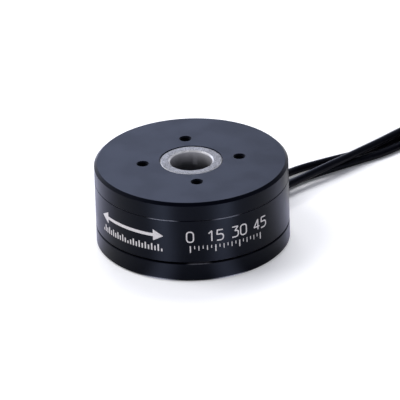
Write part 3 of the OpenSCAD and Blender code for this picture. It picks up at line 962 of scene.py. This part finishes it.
@dataclass
class RingMarks:
    """Silver etched marks on the flux ring: a degree scale, and an arrow for the sense of rotation."""

    radius: float = 20.0  # the ring's outside radius
    lift: float = 0.012  # how far the etched skin stands on it
    sunk: float = 0.02  # how far the skin reaches into it
    scale_from: float = -92.0  # azimuth of the scale's first tick in degrees
    scale_step: float = 15.0  # degrees between numbers
    numbers: tuple[str, ...] = ("0", "15", "30", "45")
    digit_high: float = 2.3  # height of a digit
    digit_wide: float = 0.6  # its width on the strokes' grid
    digit_gap: float = 0.55  # gap between two digits
    digit_low: float = 9.1  # height of the digits' feet
    stroke: float = 0.27  # width of a digit's stroke
    ticks_low: float = 6.7  # foot of the tick row
    ticks_high: float = 8.2  # top of the ticks
    ticks_per_step: int = 6
    tick_lengths: Vec3 = (1.0, 0.7, 0.45)  # at a number, at an even tick and at an odd one
    tick_widths: Vec2 = (0.24, 0.17)  # at a number and elsewhere
    arrow_from: float = -156.0  # azimuth where the arrow starts
    arrow_to: float = -108.0  # azimuth where it ends
    arrow_at: float = 10.2  # height of the arrow's middle
    arrow_half: float = 0.34  # half the width of its shaft
    arrow_steps: int = 24  # straight pieces in its shaft
    head: float = 2.2  # length of its heads
    head_halves: Vec2 = (0.02, 1.27)  # half their width at the tip and at the back
    head_steps: int = 8  # straight pieces in a head
    bars: int = 23  # how many bars stand under it
    bar_group: int = 11  # how many of them lie from one low bar to the next
    bar_heights: Vec3 = (0.6, 1.5, 1.05)  # of a low bar, an odd one and an even one
    bar_width: float = 0.32

    def ribbon(self, work: BMesh, line: Sequence[Vec2], halves: Sequence[float], closed: bool = False) -> None:
        """Lay one stroke on the ring as a thin closed solid.

        Args:
            work: the mesh that it is added to.
            line: points as (distance round the ring, height).
            halves: half the stroke's width at each point.
            closed: whether the stroke joins itself.
        """
        rings = []
        for i, (u, v) in enumerate(line):
            before = line[i - 1] if closed or i > 0 else line[i]
            after = line[(i + 1) % len(line)] if closed or i < len(line) - 1 else line[i]
            along = Vector((after[0] - before[0], after[1] - before[1])).normalized()
            first = Vector((u - before[0], v - before[1]))
            bend = math.cos(first.angle(along)) if first.length > 1e-9 else 1.0
            reach = halves[i] / max(bend, 0.5)
            rings.append([(*spot((u + side * along.y * reach) / self.radius, self.radius + out),
                           v - side * along.x * reach)
                          for side, out in ((-1, self.lift), (1, self.lift), (1, -self.sunk), (-1, -self.sunk))])
        skin(work, rings, joined=closed)

    def bar(self, work: BMesh, azimuth: float, low: float, high: float, width: float) -> None:
        """Lay one upright bar at an azimuth in degrees."""
        at = math.radians(azimuth) * self.radius
        self.ribbon(work, [(at, low), (at, high)], [width / 2] * 2)

    def digit(self, work: BMesh, mark: Mark, left: float) -> None:
        """Lay one digit.

        Args:
            work: the mesh that it is added to.
            mark: which digit.
            left: distance round the ring of its left edge.
        """
        closed = mark is Mark.ZERO
        line = [(left + x * self.digit_high, self.digit_low + y * self.digit_high)
                for x, y in fillet_line(mark.value, closed, steps=6)]
        self.ribbon(work, line, [self.stroke / 2] * len(line), closed)

    def scale(self, work: BMesh) -> None:
        """Lay the numbers and ticks of the degree scale.

        Args:
            work: the mesh that they are added to.
        """
        marks = dict(zip("01345", Mark))
        digit = self.digit_high * self.digit_wide
        advance = digit + self.digit_gap
        for i, number in enumerate(self.numbers):
            middle = math.radians(self.scale_from + i * self.scale_step) * self.radius
            width = advance * (len(number) - 1) + digit
            for k, letter in enumerate(number):
                self.digit(work, marks[letter], middle - width / 2 + k * advance)
        for k in range((len(self.numbers) - 1) * self.ticks_per_step + 1):
            rank = 0 if k % self.ticks_per_step == 0 else 1 + k % 2
            low = self.ticks_high - (self.ticks_high - self.ticks_low) * self.tick_lengths[rank]
            azimuth = self.scale_from + k * self.scale_step / self.ticks_per_step
            self.bar(work, azimuth, low, self.ticks_high, self.tick_widths[min(rank, 1)])

    def arrow(self, work: BMesh) -> None:
        """Lay the two-headed arrow, with a row of bars under it.

        Args:
            work: the mesh that they are added to.
        """
        start, end = (math.radians(a) * self.radius for a in (self.arrow_from, self.arrow_to))
        inset = 0.9 * self.head
        shaft = [(start + inset + (end - start - 2 * inset) * t, self.arrow_at) for t in shares(self.arrow_steps)]
        self.ribbon(work, shaft, [self.arrow_half] * len(shaft))
        narrow, wide = self.head_halves
        for tip, back in ((start, self.head), (end, -self.head)):
            line = [(tip + back * t, self.arrow_at) for t in shares(self.head_steps)]
            self.ribbon(work, line, [narrow + (wide - narrow) * t for t in shares(self.head_steps)])
        for k in range(self.bars):
            tall = self.bar_heights[0 if k % self.bar_group == 0 else 2 - k % 2]
            azimuth = self.arrow_from + (self.arrow_to - self.arrow_from) * (k + 0.5) / self.bars
            self.bar(work, azimuth, self.ticks_low, self.ticks_low + tall, self.bar_width)

    def build(self) -> list[Object]:
        """Build the marks.

        Returns:
            The two pieces.
        """
        made = []
        for name, draw in (("degree_scale", self.scale), ("rotation_arrow", self.arrow)):
            work = bmesh.new()
            draw(work)
            made.append(place_piece(name, finished_mesh(name, work), Body.ROTOR, ETCHED, "shaft_metal"))
        return made


# Leads


@dataclass(frozen=True)
class LeadCoil:
    """The neat round coil that the leads' unseen length is wound into.

    It runs inwards in a lower layer, climbs, and runs outwards again in an upper one.
    """

    x: float = 70.0  # its middle
    y: float = 32.0  # its middle
    start: float = 135.0  # angle where the leads come in, in degrees
    end: float = -78.0  # angle where they leave
    turns: int = 5  # whole turns between the two, besides the part turn
    outer: float = 19.95  # radius of the outermost turn's middle
    inner: float = 9.85  # radius of the innermost turn's middle
    entry: float = 23.69  # radius where the route hands over to the coil
    leave: float = 23.6  # radius where the tail takes over
    low: float = 0.85  # height of the lower layer
    high: float = 3.97  # height of the upper layer
    climb: Vec2 = (2.8, 3.05)  # turns after which the climb begins and ends
    settle: float = 0.2  # turns in which the leads draw in to the coil, or leave it
    per_turn: int = 36  # points in each turn
    tie_angle: float = -125.0  # where the tie is
    hump: float = 0.55  # how far the turns rise over the tie's strip
    hump_level: float = 2.0  # how far the hump stays level to each side
    hump_slope: float = 7.0  # how long its slopes are

    @property
    def total(self) -> float:
        """How many turns there are in all."""
        return self.turns + (self.start - self.end) / 360

    @staticmethod
    def ease(t: float) -> float:
        """Run smoothly from 0 at 0 to 1 at 1."""
        t = min(1.0, max(0.0, t))
        return t * t * (3 - 2 * t)

    def spiral(self, t: float) -> Vec2:
        """Give the bundle's radius and layer after some turns.

        Args:
            t: turns since the leads came in.

        Returns:
            The radius, and the layer from 0, low, to 1, high.
        """
        begin, end = self.climb
        if t < begin:
            radius = self.outer + (self.inner - self.outer) * max(0.0, t - self.settle) / (begin - self.settle)
            radius += (self.entry - self.outer) * (1 - self.ease(t / self.settle))
        else:
            pace = (self.outer - self.inner) / (self.total - self.settle / 2 - end)
            radius = min(self.outer, self.inner + pace * max(0.0, t - end))
            radius += (self.leave - radius) * self.ease((t - self.total + self.settle) / self.settle)
        return radius, self.ease((t - begin) / (end - begin))

    def points(self, side: float, lift: float) -> list[Vec3]:
        """Give one lead's points through the coil.

        Args:
            side: how far out from the bundle's middle the lead lies.
            lift: how far above the bundle's lower pair it lies.

        Returns:
            The points, from the way in to the way out, without the two ends.
        """
        line = []
        count = int(self.total * self.per_turn)
        for t in (self.total * i / count for i in range(1, count)):
            radius, layer = self.spiral(t)
            degrees = self.start - 360 * t
            from_tie = abs((degrees - self.tie_angle + 180) % 360 - 180)
            arc = math.radians(from_tie) * radius
            rise = self.hump * (1 - self.ease((arc - self.hump_level) / self.hump_slope))
            line.append((*spot(math.radians(degrees), radius + side, 0.0, self.x, self.y),
                         self.low + (self.high - self.low) * layer + lift + rise))
        return line


@dataclass(frozen=True)
class Lead:
    """One lead, from its joint inside the motor to its tinned end."""

    name: str  # the phase that it feeds
    route: tuple[Vec3, ...]  # its points from the joint to the coil
    tail: tuple[Vec3, ...]  # its points from the coil to its end
    side: float  # its place in the bundle, outwards
    lift: float  # its place in the bundle, upwards
    exit_at: int = 3  # the route's point where it leaves the motor
    length: float = 605.0  # its real length
    diameter: float = 1.65  # over its insulation
    tip: float = 0.7  # diameter of the tinned end
    tip_length: float = 5.0  # length of the tinned end
    tip_turns: float = 1.3  # turns in its strands
    tip_sunk: float = 0.3  # how far the strands reach into the insulation

    def curve(self, coil: LeadCoil) -> bpy.types.Curve:
        """Make the lead's curve.

        Args:
            coil: the coil that it is wound into.

        Returns:
            A curve of one open spline with a round section.
        """
        curve = bpy.data.curves.new(f"lead_{self.name}", "CURVE")
        curve.dimensions = "3D"
        curve.bevel_depth = self.diameter / 2 * MM
        curve.bevel_resolution = 5
        curve.resolution_u = 4
        curve.use_fill_caps = True
        line = [*self.route, *coil.points(self.side, self.lift), *self.tail]
        spline = curve.splines.new("BEZIER")
        spline.bezier_points.add(len(line) - 1)
        for knot, place in zip(spline.bezier_points, line):
            knot.co = Vector(place) * MM
            knot.handle_left_type = knot.handle_right_type = "AUTO"
        return curve

    def strands(self) -> Mesh:
        """Twist seven tinned strands, six of them round one, into the lead's bare end.

        Returns:
            The strands' mesh.
        """
        last, before = Vector(self.tail[-1]), Vector(self.tail[-2])
        ahead = (last - before).normalized()
        across = ahead.cross(Vector((0, 0, 1))).normalized()
        basis = Matrix((across, across.cross(ahead), ahead)).transposed()
        strand = self.tip / 6
        rows, sides = 24, 8
        work = bmesh.new()
        for s in range(7):
            wound = 0.0 if s == 6 else 2 * strand
            rings = []
            for t in shares(rows):
                middle = spot(TAU * (s / 6 + self.tip_turns * t), wound)
                out = self.tip_length * t if t else -self.tip_sunk
                rings.append([last + basis @ Vector((*spot(TAU * k / sides, strand, 0.0, *middle), out))
                              for k in range(sides)])
            skin(work, rings)
        mesh = finished_mesh(f"strands_{self.name}", work)
        mesh.shade_smooth()
        return mesh

    def build(self, coil: LeadCoil, on_it: Sequence[Object] = (), stands_for: Sequence[str] = ()) -> list[Object]:
        """Lay the lead and its end.

        Args:
            coil: the coil that it is wound into.
            on_it: pieces on it besides its end; not used.
            stands_for: CAD nodes that it replaces besides its own.

        Returns:
            The lead and its tinned end.
        """
        lead = place_piece(f"insulated_lead_{self.name}", self.curve(coil), Body.STATOR, LEAD_RUBBER,
                           "lead_rubber", f"lead_{self.name}", *stands_for)
        end = place_piece(f"tinned_end_{self.name}", self.strands(), Body.STATOR, TINNED, "tinned_wire",
                          f"lead_end_{self.name}")
        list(on_it)
        return [lead, end]


@dataclass(frozen=True)
class CoilTie:
    """The strip that is drawn round the coil, with its two ends twisted together on top."""

    coil: LeadCoil
    leads: Sequence[Lead]
    width: float = 3.0  # the strip's width
    thick: float = 0.5  # its thickness
    play: float = 0.04  # gap between the leads and the strip
    edge: float = 0.14  # radius of its edges
    bend_step: float = 9.0  # degrees in each straight piece of a bend
    twist_length: float = 5.4  # length of the twisted ends
    twist_reach: float = 0.8  # from the twist's axis to its ridges
    twist_turns: float = 2.25  # turns in the twist
    twist_slim: float = 0.55  # how slim its two ends are
    twist_taper: float = 14.0  # its ends widen over one part in this many of its length
    twist_steps: int = 72  # rows in the twist
    twist_sides: int = 28  # flats round it
    sunk: float = 0.3  # how deep the twist lies in the strip
    level: float = 0.2  # how far below the highest turn one still counts as on top

    def passing(self) -> list[Vec2]:
        """Find where the leads pass through the tie.

        Returns:
            Each middle's distance from the coil's middle and its height, at the strip's middle and both edges.
        """
        found = []
        coil = self.coil
        first = (coil.start - coil.tie_angle) / 360 % 1
        for lead in self.leads:
            for turn in range(coil.turns):
                for across in (-self.width / 2, 0.0, self.width / 2):
                    round_trip = TAU * (coil.spiral(first + turn)[0] + lead.side)
                    radius, layer = coil.spiral(first + turn - across / round_trip)
                    height = coil.low + (coil.high - coil.low) * layer + lead.lift + coil.hump
                    found.append((math.sqrt((radius + lead.side) ** 2 - across ** 2), height))
        return found

    @staticmethod
    def corners(places: Sequence[Vec2]) -> list[Vec2]:
        """Find the tightest loop round some points.

        Args:
            places: the points.

        Returns:
            The loop's corners, anticlockwise.
        """
        ends = []
        for row in (sorted(places), sorted(places, reverse=True)):
            side: list[Vec2] = []
            for x, y in row:
                while len(side) > 1 and ((side[-1][0] - side[-2][0]) * (y - side[-2][1])
                                         <= (side[-1][1] - side[-2][1]) * (x - side[-2][0])):
                    side.pop()
                side.append((x, y))
            ends += side[:-1]
        return ends

    def place(self, out: float, across: float, height: float) -> Vec3:
        """Turn a place, out from the coil's middle and across the strip, into one in the part's frame."""
        return (*spot(math.radians(self.coil.tie_angle), out, across, self.coil.x, self.coil.y), height)

    def strip(self, corners: Sequence[Vec2], reach: float) -> Mesh:
        """Draw the strip round the leads.

        Args:
            corners: middles of the leads that it bends round.
            reach: from those middles to its inner face.

        Returns:
            The strip's mesh.
        """
        outer, half = reach + self.thick, self.width / 2
        square = [(reach, -half), (outer, -half), (outer, half), (reach, half)]
        section = fillet_line([(*corner, self.edge) for corner in square], closed=True, steps=3)
        rings = []
        for i, (x, z) in enumerate(corners):
            before, after = corners[i - 1], corners[(i + 1) % len(corners)]
            begin = math.atan2(before[0] - x, z - before[1])
            bend = (math.atan2(x - after[0], after[1] - z) - begin) % TAU
            steps = max(1, math.ceil(bend / math.radians(self.bend_step)))
            for turn in (begin + bend * t for t in shares(steps)):
                rings.append([self.place(x + out * math.cos(turn), across, z + out * math.sin(turn))
                              for out, across in section])
        return ring_mesh("tie_strip", rings, joined=True)

    def twist(self, middle: float, height: float) -> Mesh:
        """Twist the strip's two ends together.

        Args:
            middle: the twist's middle, from the coil's middle.
            height: its axis above the floor.

        Returns:
            The twist's mesh.
        """
        rings = []
        for t in shares(self.twist_steps):
            turned = TAU * self.twist_turns * t
            full = min(1.0, self.twist_taper * t, self.twist_taper * (1 - t)) ** 0.5
            slim = self.twist_slim + (1 - self.twist_slim) * full
            ring = []
            for a in (TAU * k / self.twist_sides for k in range(self.twist_sides)):
                out = self.twist_reach * slim * (1 + math.cos(a) ** 2) / 2
                ring.append(self.place(middle + self.twist_length * (t - 0.5), out * math.cos(a + turned),
                                       height + out * math.sin(a + turned)))
            rings.append(ring)
        return ring_mesh("tie_twist", rings)

    def build(self) -> Object:
        """Tie the coil.

        Returns:
            The tie.
        """
        corners = self.corners(self.passing())
        reach = self.leads[0].diameter / 2 + self.play
        top = max(z for _, z in corners)
        upper = [x for x, z in corners if z > top - self.level]
        twist = self.twist(sum(upper) / len(upper), top + reach + self.thick + self.twist_reach - self.sunk)
        mesh = combine(self.strip(corners, reach), [twist], "UNION")
        smooth_edges(mesh)
        return place_piece("strip_tie", mesh, Body.STATOR, TIE_PLASTIC, "tie_plastic", "coil_tie")


ROUTE_U: tuple[Vec3, ...] = (
    (8.3, 12.1, 2.75), (10, 13.3, 2.75), (11.8, 14.8, 2.6), (12.6, 15.6, 2.55), (13.7, 16.7, 2.5), (16.2, 20.0, 2.05),
    (18.6, 23.6, 1.4), (20.9, 26.5, 0.95), (23.5, 28.5, 0.85), (27, 30.4, 0.85), (30.6, 32.2, 0.85), (34.5, 34, 0.85),
    (38.3, 36.4, 0.85), (41.8, 39.1, 0.85), (45, 41.9, 0.85), (47.6, 44.4, 0.85), (50.1, 46.9, 0.85),
    (52.6, 49.4, 0.85))
ROUTE_V: tuple[Vec3, ...] = (
    (10.1, 10.4, 2.75), (11.5, 11.9, 2.75), (13.1, 13.5, 2.6), (13.9, 14.4, 2.55), (14.9, 15.5, 2.5),
    (17.6, 18.5, 1.5), (20.5, 21.3, 0.95), (23.6, 23.9, 0.85), (27.2, 26.3, 0.85), (31.5, 28.9, 0.85),
    (35.8, 31.5, 0.85), (40.2, 34.2, 0.85), (44.4, 37.6, 0.85), (47.7, 41, 0.85), (50.8, 44.6, 0.85),
    (53.9, 48.1, 0.85))
ROUTE_W: tuple[Vec3, ...] = (
    (11.8, 8.7, 2.75), (13, 10.4, 2.75), (14.3, 12.3, 2.6), (15.2, 13.2, 2.55), (16.2, 14.2, 2.5), (18.4, 16.8, 2.1),
    (20.6, 19.0, 2), (22.9, 21, 2.1), (25.6, 23.3, 2.25), (29, 26, 2.5), (32.4, 29, 2.56), (35.9, 32.3, 2.56),
    (40.3, 36.5, 2.56), (44.5, 40.7, 2.58), (47.4, 43.4, 2.56), (50.3, 46.1, 2.46), (53.2, 48.8, 2.34))
TAIL_U: tuple[Vec3, ...] = ((75.1, 8.1, 4), (71.7, 7.3, 3.4), (68.4, 6.4, 2.3), (65.1, 5.4, 1.3), (61.9, 4.4, 0.88),
                            (58.8, 3.4, 0.85))
TAIL_V: tuple[Vec3, ...] = ((74.7, 9.8, 4), (71.3, 9.1, 3.4), (67.9, 8.6, 2.3), (64.5, 8.3, 1.3), (61.1, 8.1, 0.88),
                            (57.8, 8, 0.85))
TAIL_W: tuple[Vec3, ...] = ((74.9, 8.9, 5.5), (71.5, 8.2, 4.9), (68.1, 7.5, 3.8), (64.8, 6.8, 2.4), (61.6, 6.2, 1.2),
                            (58.4, 5.6, 0.88))


@dataclass
class Leads:
    """The three leads in their coil."""

    coil: LeadCoil = field(default_factory=LeadCoil)
    leads: tuple[Lead, ...] = (Lead("u", ROUTE_U, TAIL_U, 0.87, 0.0), Lead("v", ROUTE_V, TAIL_V, -0.87, 0.0),
                               Lead("w", ROUTE_W, TAIL_W, 0.0, 1.45))

    def build(self) -> list[Object]:
        """Tie the coil and lay the leads, of which the second stands for the coil's solid.

        Returns:
            The tie, then each lead and its end.
        """
        made = [CoilTie(self.coil, self.leads).build()]
        for lead in self.leads:
            second = lead.name == "v"
            made += lead.build(self.coil, made[:1] if second else [], ["lead_coil"] if second else [])
        return made


# Studio and camera


@dataclass(frozen=True)
class StudioCamera:
    """The camera at the photograph's angle. Its angles are in degrees."""

    distance: float = 1200.0  # from the point that it turns about
    focal: float = 5801.01  # focal length in pixels of the picture
    picture: float = 400.0  # the picture's width in pixels
    sensor: float = 36.0  # the sensor's width
    elevation: float = 27.3265  # above the floor
    yaw: float = 0.076  # turn to the right
    pitch: float = 0.351  # turn upwards
    roll: float = -1.7569  # turn about its own axis
    height: float = 0.25  # height of the point that it turns about

    def build(self) -> Object:
        """Make the scene's camera.

        Returns:
            The camera.
        """
        data = bpy.data.cameras.new("studio_camera")
        data.sensor_width = self.sensor
        data.lens = self.focal / self.picture * self.sensor
        data.clip_start, data.clip_end = 0.05, 20.0
        camera = add_object("studio_camera", data)
        high = math.radians(self.elevation)
        place = Vector((0, -math.cos(high), math.sin(high))) * self.distance + Vector((0, 0, self.height))
        matrix = Matrix.Translation(place * MM)
        for axis, degrees in zip("XYXZ", (90.0 - self.elevation, -self.yaw, self.pitch, self.roll)):
            matrix = matrix @ Matrix.Rotation(math.radians(degrees), 4, axis)
        camera.matrix_world = matrix
        bpy.context.scene.camera = camera
        return camera


@dataclass(frozen=True)
class Softbox:
    """A rectangular lamp that points at the motor."""

    name: str
    azimuth: float  # where it stands, in degrees from +X towards +Y
    elevation: float  # above the floor, in degrees
    distance: float  # from the motor
    width: float  # across
    height: float  # the other way
    radiance: float  # how bright its face is, where 1 is white
    lights: bool = True  # whether it lights matt surfaces
    mirrored: bool = True  # whether reflections show it
    colour: Vec3 = (1.0, 1.0, 1.0)

    def build(self) -> None:
        """Hang the lamp."""
        data = bpy.data.lights.new(self.name, "AREA")
        data.shape = "RECTANGLE"
        data.size, data.size_y = self.width * MM, self.height * MM
        data.energy = self.radiance * math.pi * data.size * data.size_y
        data.color = self.colour
        lamp = add_object(self.name, data)
        high = math.radians(self.elevation)
        out = Vector((*spot(math.radians(self.azimuth), math.cos(high)), math.sin(high)))
        aim = out.to_track_quat("Z", "Y").to_matrix().to_4x4()
        lamp.matrix_world = Matrix.Translation(out * self.distance * MM) @ aim
        lamp.visible_camera = False
        lamp.visible_diffuse = self.lights
        lamp.visible_glossy = self.mirrored


@dataclass
class Studio:
    """The pale floor, the white surroundings and the lamps. A pair of numbers is where a mask starts and ends."""

    floor_radii: Vec3 = (60.0, 300.0, 3000.0)  # radii of the round floor's rings of vertices
    floor_under: float = 0.02  # how far it lies under the motor
    floor_sides: int = 64
    floor_colour: Vec3 = (0.80, 0.80, 0.82)  # the floor's own colour
    ambient: Vec3 = (0.3906, 0.4032, 0.462)  # the light that comes from all round
    back_sky: Vec3 = (0.79, 0.83, 1.0)  # what reflections show low down and behind
    left_sky: Vec3 = (1.15, 1.17, 1.30)  # what they show to the left
    front_sky: Vec3 = (0.05, 0.05, 0.06)  # what they show high up in front, and to the right
    floor_glow: float = 0.275  # painted light: how far a glow that only the camera sees lifts the floor, and the motor's shadow on it, towards white
    lead_glow: float = 0.04  # the same near the leads, whose shadow stays
    lead_zone: Vec2 = (10.0, 18.0)  # along X, from where the leads' shadow is kept
    lead_zone_left: Vec2 = (-5.0, -1.0)  # beside the leads, from their left
    lead_zone_right: Vec2 = (9.0, 4.0)  # beside the leads, from their right
    lead_zone_out: Vec2 = (160.0, 60.0)  # from far out
    left_shine: Vec3 = (0.26, 0.27, 0.58)  # what the floor just left of the motor adds in reflections
    right_shine: Vec3 = (0.38, 0.39, 0.62)  # what the floor just right of it adds
    back_shine: Vec3 = (0.45, 0.48, 0.85)  # what the floor further behind adds
    right_half: Vec2 = (-5.0, 5.0)  # along X, where right begins
    back_half: Vec2 = (-10.0, 2.0)  # along Y, where the floor beside the motor begins
    back_leads: Vec2 = (8.0, 18.0)  # along Y, where the leads darken it on the right
    back_out: Vec2 = (24.0, 38.0)  # outwards, where the floor further behind begins
    back_from: Vec2 = (0.0, 14.0)  # along Y, where it begins
    sweeps: Vec2 = (22.0, 31.0)  # degrees from the front to the two bright bands painted into reflections, near and far
    sweep_half: float = 14.5  # half the width of a sweep in degrees
    sweep_out: Vec2 = (24.0, 55.0)  # outwards, from near to far
    near_sweep: Vec3 = (2.1, 2.2, 2.8)  # what a sweep adds in reflections near the motor
    far_sweep: Vec3 = (3.9, 4.3, 5.5)  # what it adds further out
    dark_zones: tuple[tuple[str, Vec2, str, Vec2, float], ...] = (
        ("z", (0.1, 0.75), "y", (0.25, -0.35), 1.0),
        ("x", (0.3, 0.75), "z", (0.10, 0.42), 0.85),
        ("z", (0.30, 0.62), "y", (0.75, 0.40), 0.6),
    )  # where front_sky takes over: two directions, each with a mask, and how far
    left_from: Vec2 = (-0.3, -0.75)  # direction along X, where left_sky begins
    lamps: tuple[Softbox, ...] = (
        Softbox("back_key", 88.0, 54.0, 800.0, 460.0, 460.0, 5.4, mirrored=False),
        Softbox("left_key", 178.0, 57.0, 800.0, 460.0, 460.0, 5.4, mirrored=False),
        Softbox("back_softbox", 111.5, 34.0, 400.0, 350.0, 260.0, 2.3, lights=False, colour=(0.64, 0.75, 1.14)),
        Softbox("front_fill", -98.0, 15.0, 900.0, 700.0, 380.0, 1.3, mirrored=False),
    )

    def floor(self) -> None:
        """Lay the floor."""
        sides = self.floor_sides
        work = bmesh.new()
        skin(work, ([(*spot(TAU * k / sides, r), -self.floor_under) for k in range(sides)]
                    for r in self.floor_radii), capped=False)
        work.verts.ensure_lookup_table()
        work.faces.new(work.verts[:sides])
        mesh = finished_mesh("floor", work)
        if mesh.polygons[0].normal.z < 0:
            mesh.flip_normals()
        floor = add_object("floor", mesh)
        mesh.materials.append(self.floor_material())

    def floor_material(self) -> bpy.types.Material:
        """Make a matt floor with painted light and painted reflections: a glow that only the camera sees lightens the
        motor's shadow but keeps the leads', and a shine that only reflections show.

        Returns:
            The material.
        """
        material = bpy.data.materials.new("pale_floor")
        material.use_nodes = True
        graph = Graph(material.node_tree)
        place = graph.add("ShaderNodeTexCoord").outputs["Object"]
        in_mm = graph.add("ShaderNodeVectorMath", {0: place, "Scale": 1 / MM}, operation="SCALE").outputs[0]
        x, y, _ = graph.xyz(in_mm)
        out = graph.radius(x, y)
        beside_leads = graph.times(graph.minus(x, y), math.sqrt(0.5))
        near_leads = graph.times(graph.remap(x, *self.lead_zone), graph.remap(out, *self.lead_zone_out),
                                 graph.remap(beside_leads, *self.lead_zone_left),
                                 graph.remap(beside_leads, *self.lead_zone_right))
        # Painted light: a glow seen only by the camera, which lightens the motor's shadow on the floor but not the
        # leads'.
        glow = graph.remap(near_leads, 0.0, 1.0, self.floor_glow, self.lead_glow)
        black, white = (0.0, 0.0, 0.0), (1.0, 1.0, 1.0)
        # Painted reflections: what the floor adds only for glossy rays, a shine beside and behind the motor and two
        # bright bands in front.
        right = graph.remap(x, *self.right_half)
        leads = graph.times(right, graph.remap(y, *self.back_leads))
        behind = graph.times(graph.remap(y, *self.back_half), graph.minus(1.0, leads))
        spread = graph.times(graph.remap(out, *self.back_out), graph.remap(y, *self.back_from))
        beside = graph.blend(right, self.left_shine, self.right_shine)
        mirrored = graph.blend(behind, black, graph.blend(spread, beside, self.back_shine))
        far = graph.remap(out, *self.sweep_out)
        from_front = graph.math("ABSOLUTE", graph.math("ADD", graph.math("ARCTAN2", y, x), math.pi / 2))
        sweep = graph.remap(far, 0.0, 1.0, *(math.radians(a) for a in self.sweeps))
        lobe = graph.remap(graph.math("ABSOLUTE", graph.minus(from_front, sweep)), math.radians(self.sweep_half), 0.0)
        mirrored = graph.blend(lobe, mirrored, graph.blend(far, self.near_sweep, self.far_sweep))
        graph.surface({"Base Color": self.floor_colour, "Roughness": 0.9, "Specular IOR Level": 0.0,
                       "Emission Color": graph.by_ray(black, mirrored, graph.blend(glow, black, white)),
                       "Emission Strength": 1.0})
        return material

    def world(self) -> None:
        """Set the surroundings: white where the camera looks, dark in front in reflections, softer as light."""
        world = bpy.data.worlds.new("studio")
        bpy.context.scene.world = world
        world.use_nodes = True
        graph = Graph(world.node_tree)
        along = dict(zip("xyz", graph.xyz(graph.add("ShaderNodeTexCoord").outputs["Generated"])))
        dark: Socket | float = 0.0
        for one, one_from, two, two_from, amount in self.dark_zones:
            zone = graph.times(graph.remap(along[one], *one_from), graph.remap(along[two], *two_from, 0.0, amount))
            dark = graph.math("MAXIMUM", dark, zone)
        bright = graph.blend(graph.remap(along["x"], *self.left_from), self.back_sky, self.left_sky)
        shown = graph.by_ray(self.ambient, graph.blend(dark, bright, self.front_sky), (1.0, 1.0, 1.0))
        background = graph.add("ShaderNodeBackground", {"Color": shown})
        graph.add("ShaderNodeOutputWorld", {"Surface": background.outputs[0]})

    def build(self) -> None:
        """Set up floor, surroundings and lamps."""
        self.floor()
        self.world()
        for lamp in self.lamps:
            lamp.build()
        bpy.context.scene.view_settings.view_transform = "Standard"


def dress_frame() -> None:
    """Give every CAD node that still shows the finish of its slot."""
    slots = {part["node"]: part["material_slot"] for part in frame["record"]["subparts"]}
    for name, node in frame["nodes"].items():
        node.data.materials.clear()
        node.data.materials.append(SLOT_FINISHES[slots[name]].material())
        LOG.info("dressed %s as %s", name, slots[name])


def main() -> None:
    """Build the camera, the leads, the pieces and the studio, in that order."""
    logging.basicConfig(level=logging.INFO, format="%(message)s")
    StudioCamera().build()
    steps: tuple[tuple[str, Callable[[], list[Object]]], ...] = (
        ("leads", Leads().build),
        ("rotor shell", RotorShell().build),
        ("shaft", HollowShaft().build),
        ("base", BaseShell().build),
        ("ring marks", RingMarks().build),
    )
    for title, step in steps:
        for piece in step():
            LOG.info("%s: made %s", title, piece.name)
    dress_frame()
    Studio().build()
    bpy.context.view_layer.update()


if __name__ == "__main__":
    main()
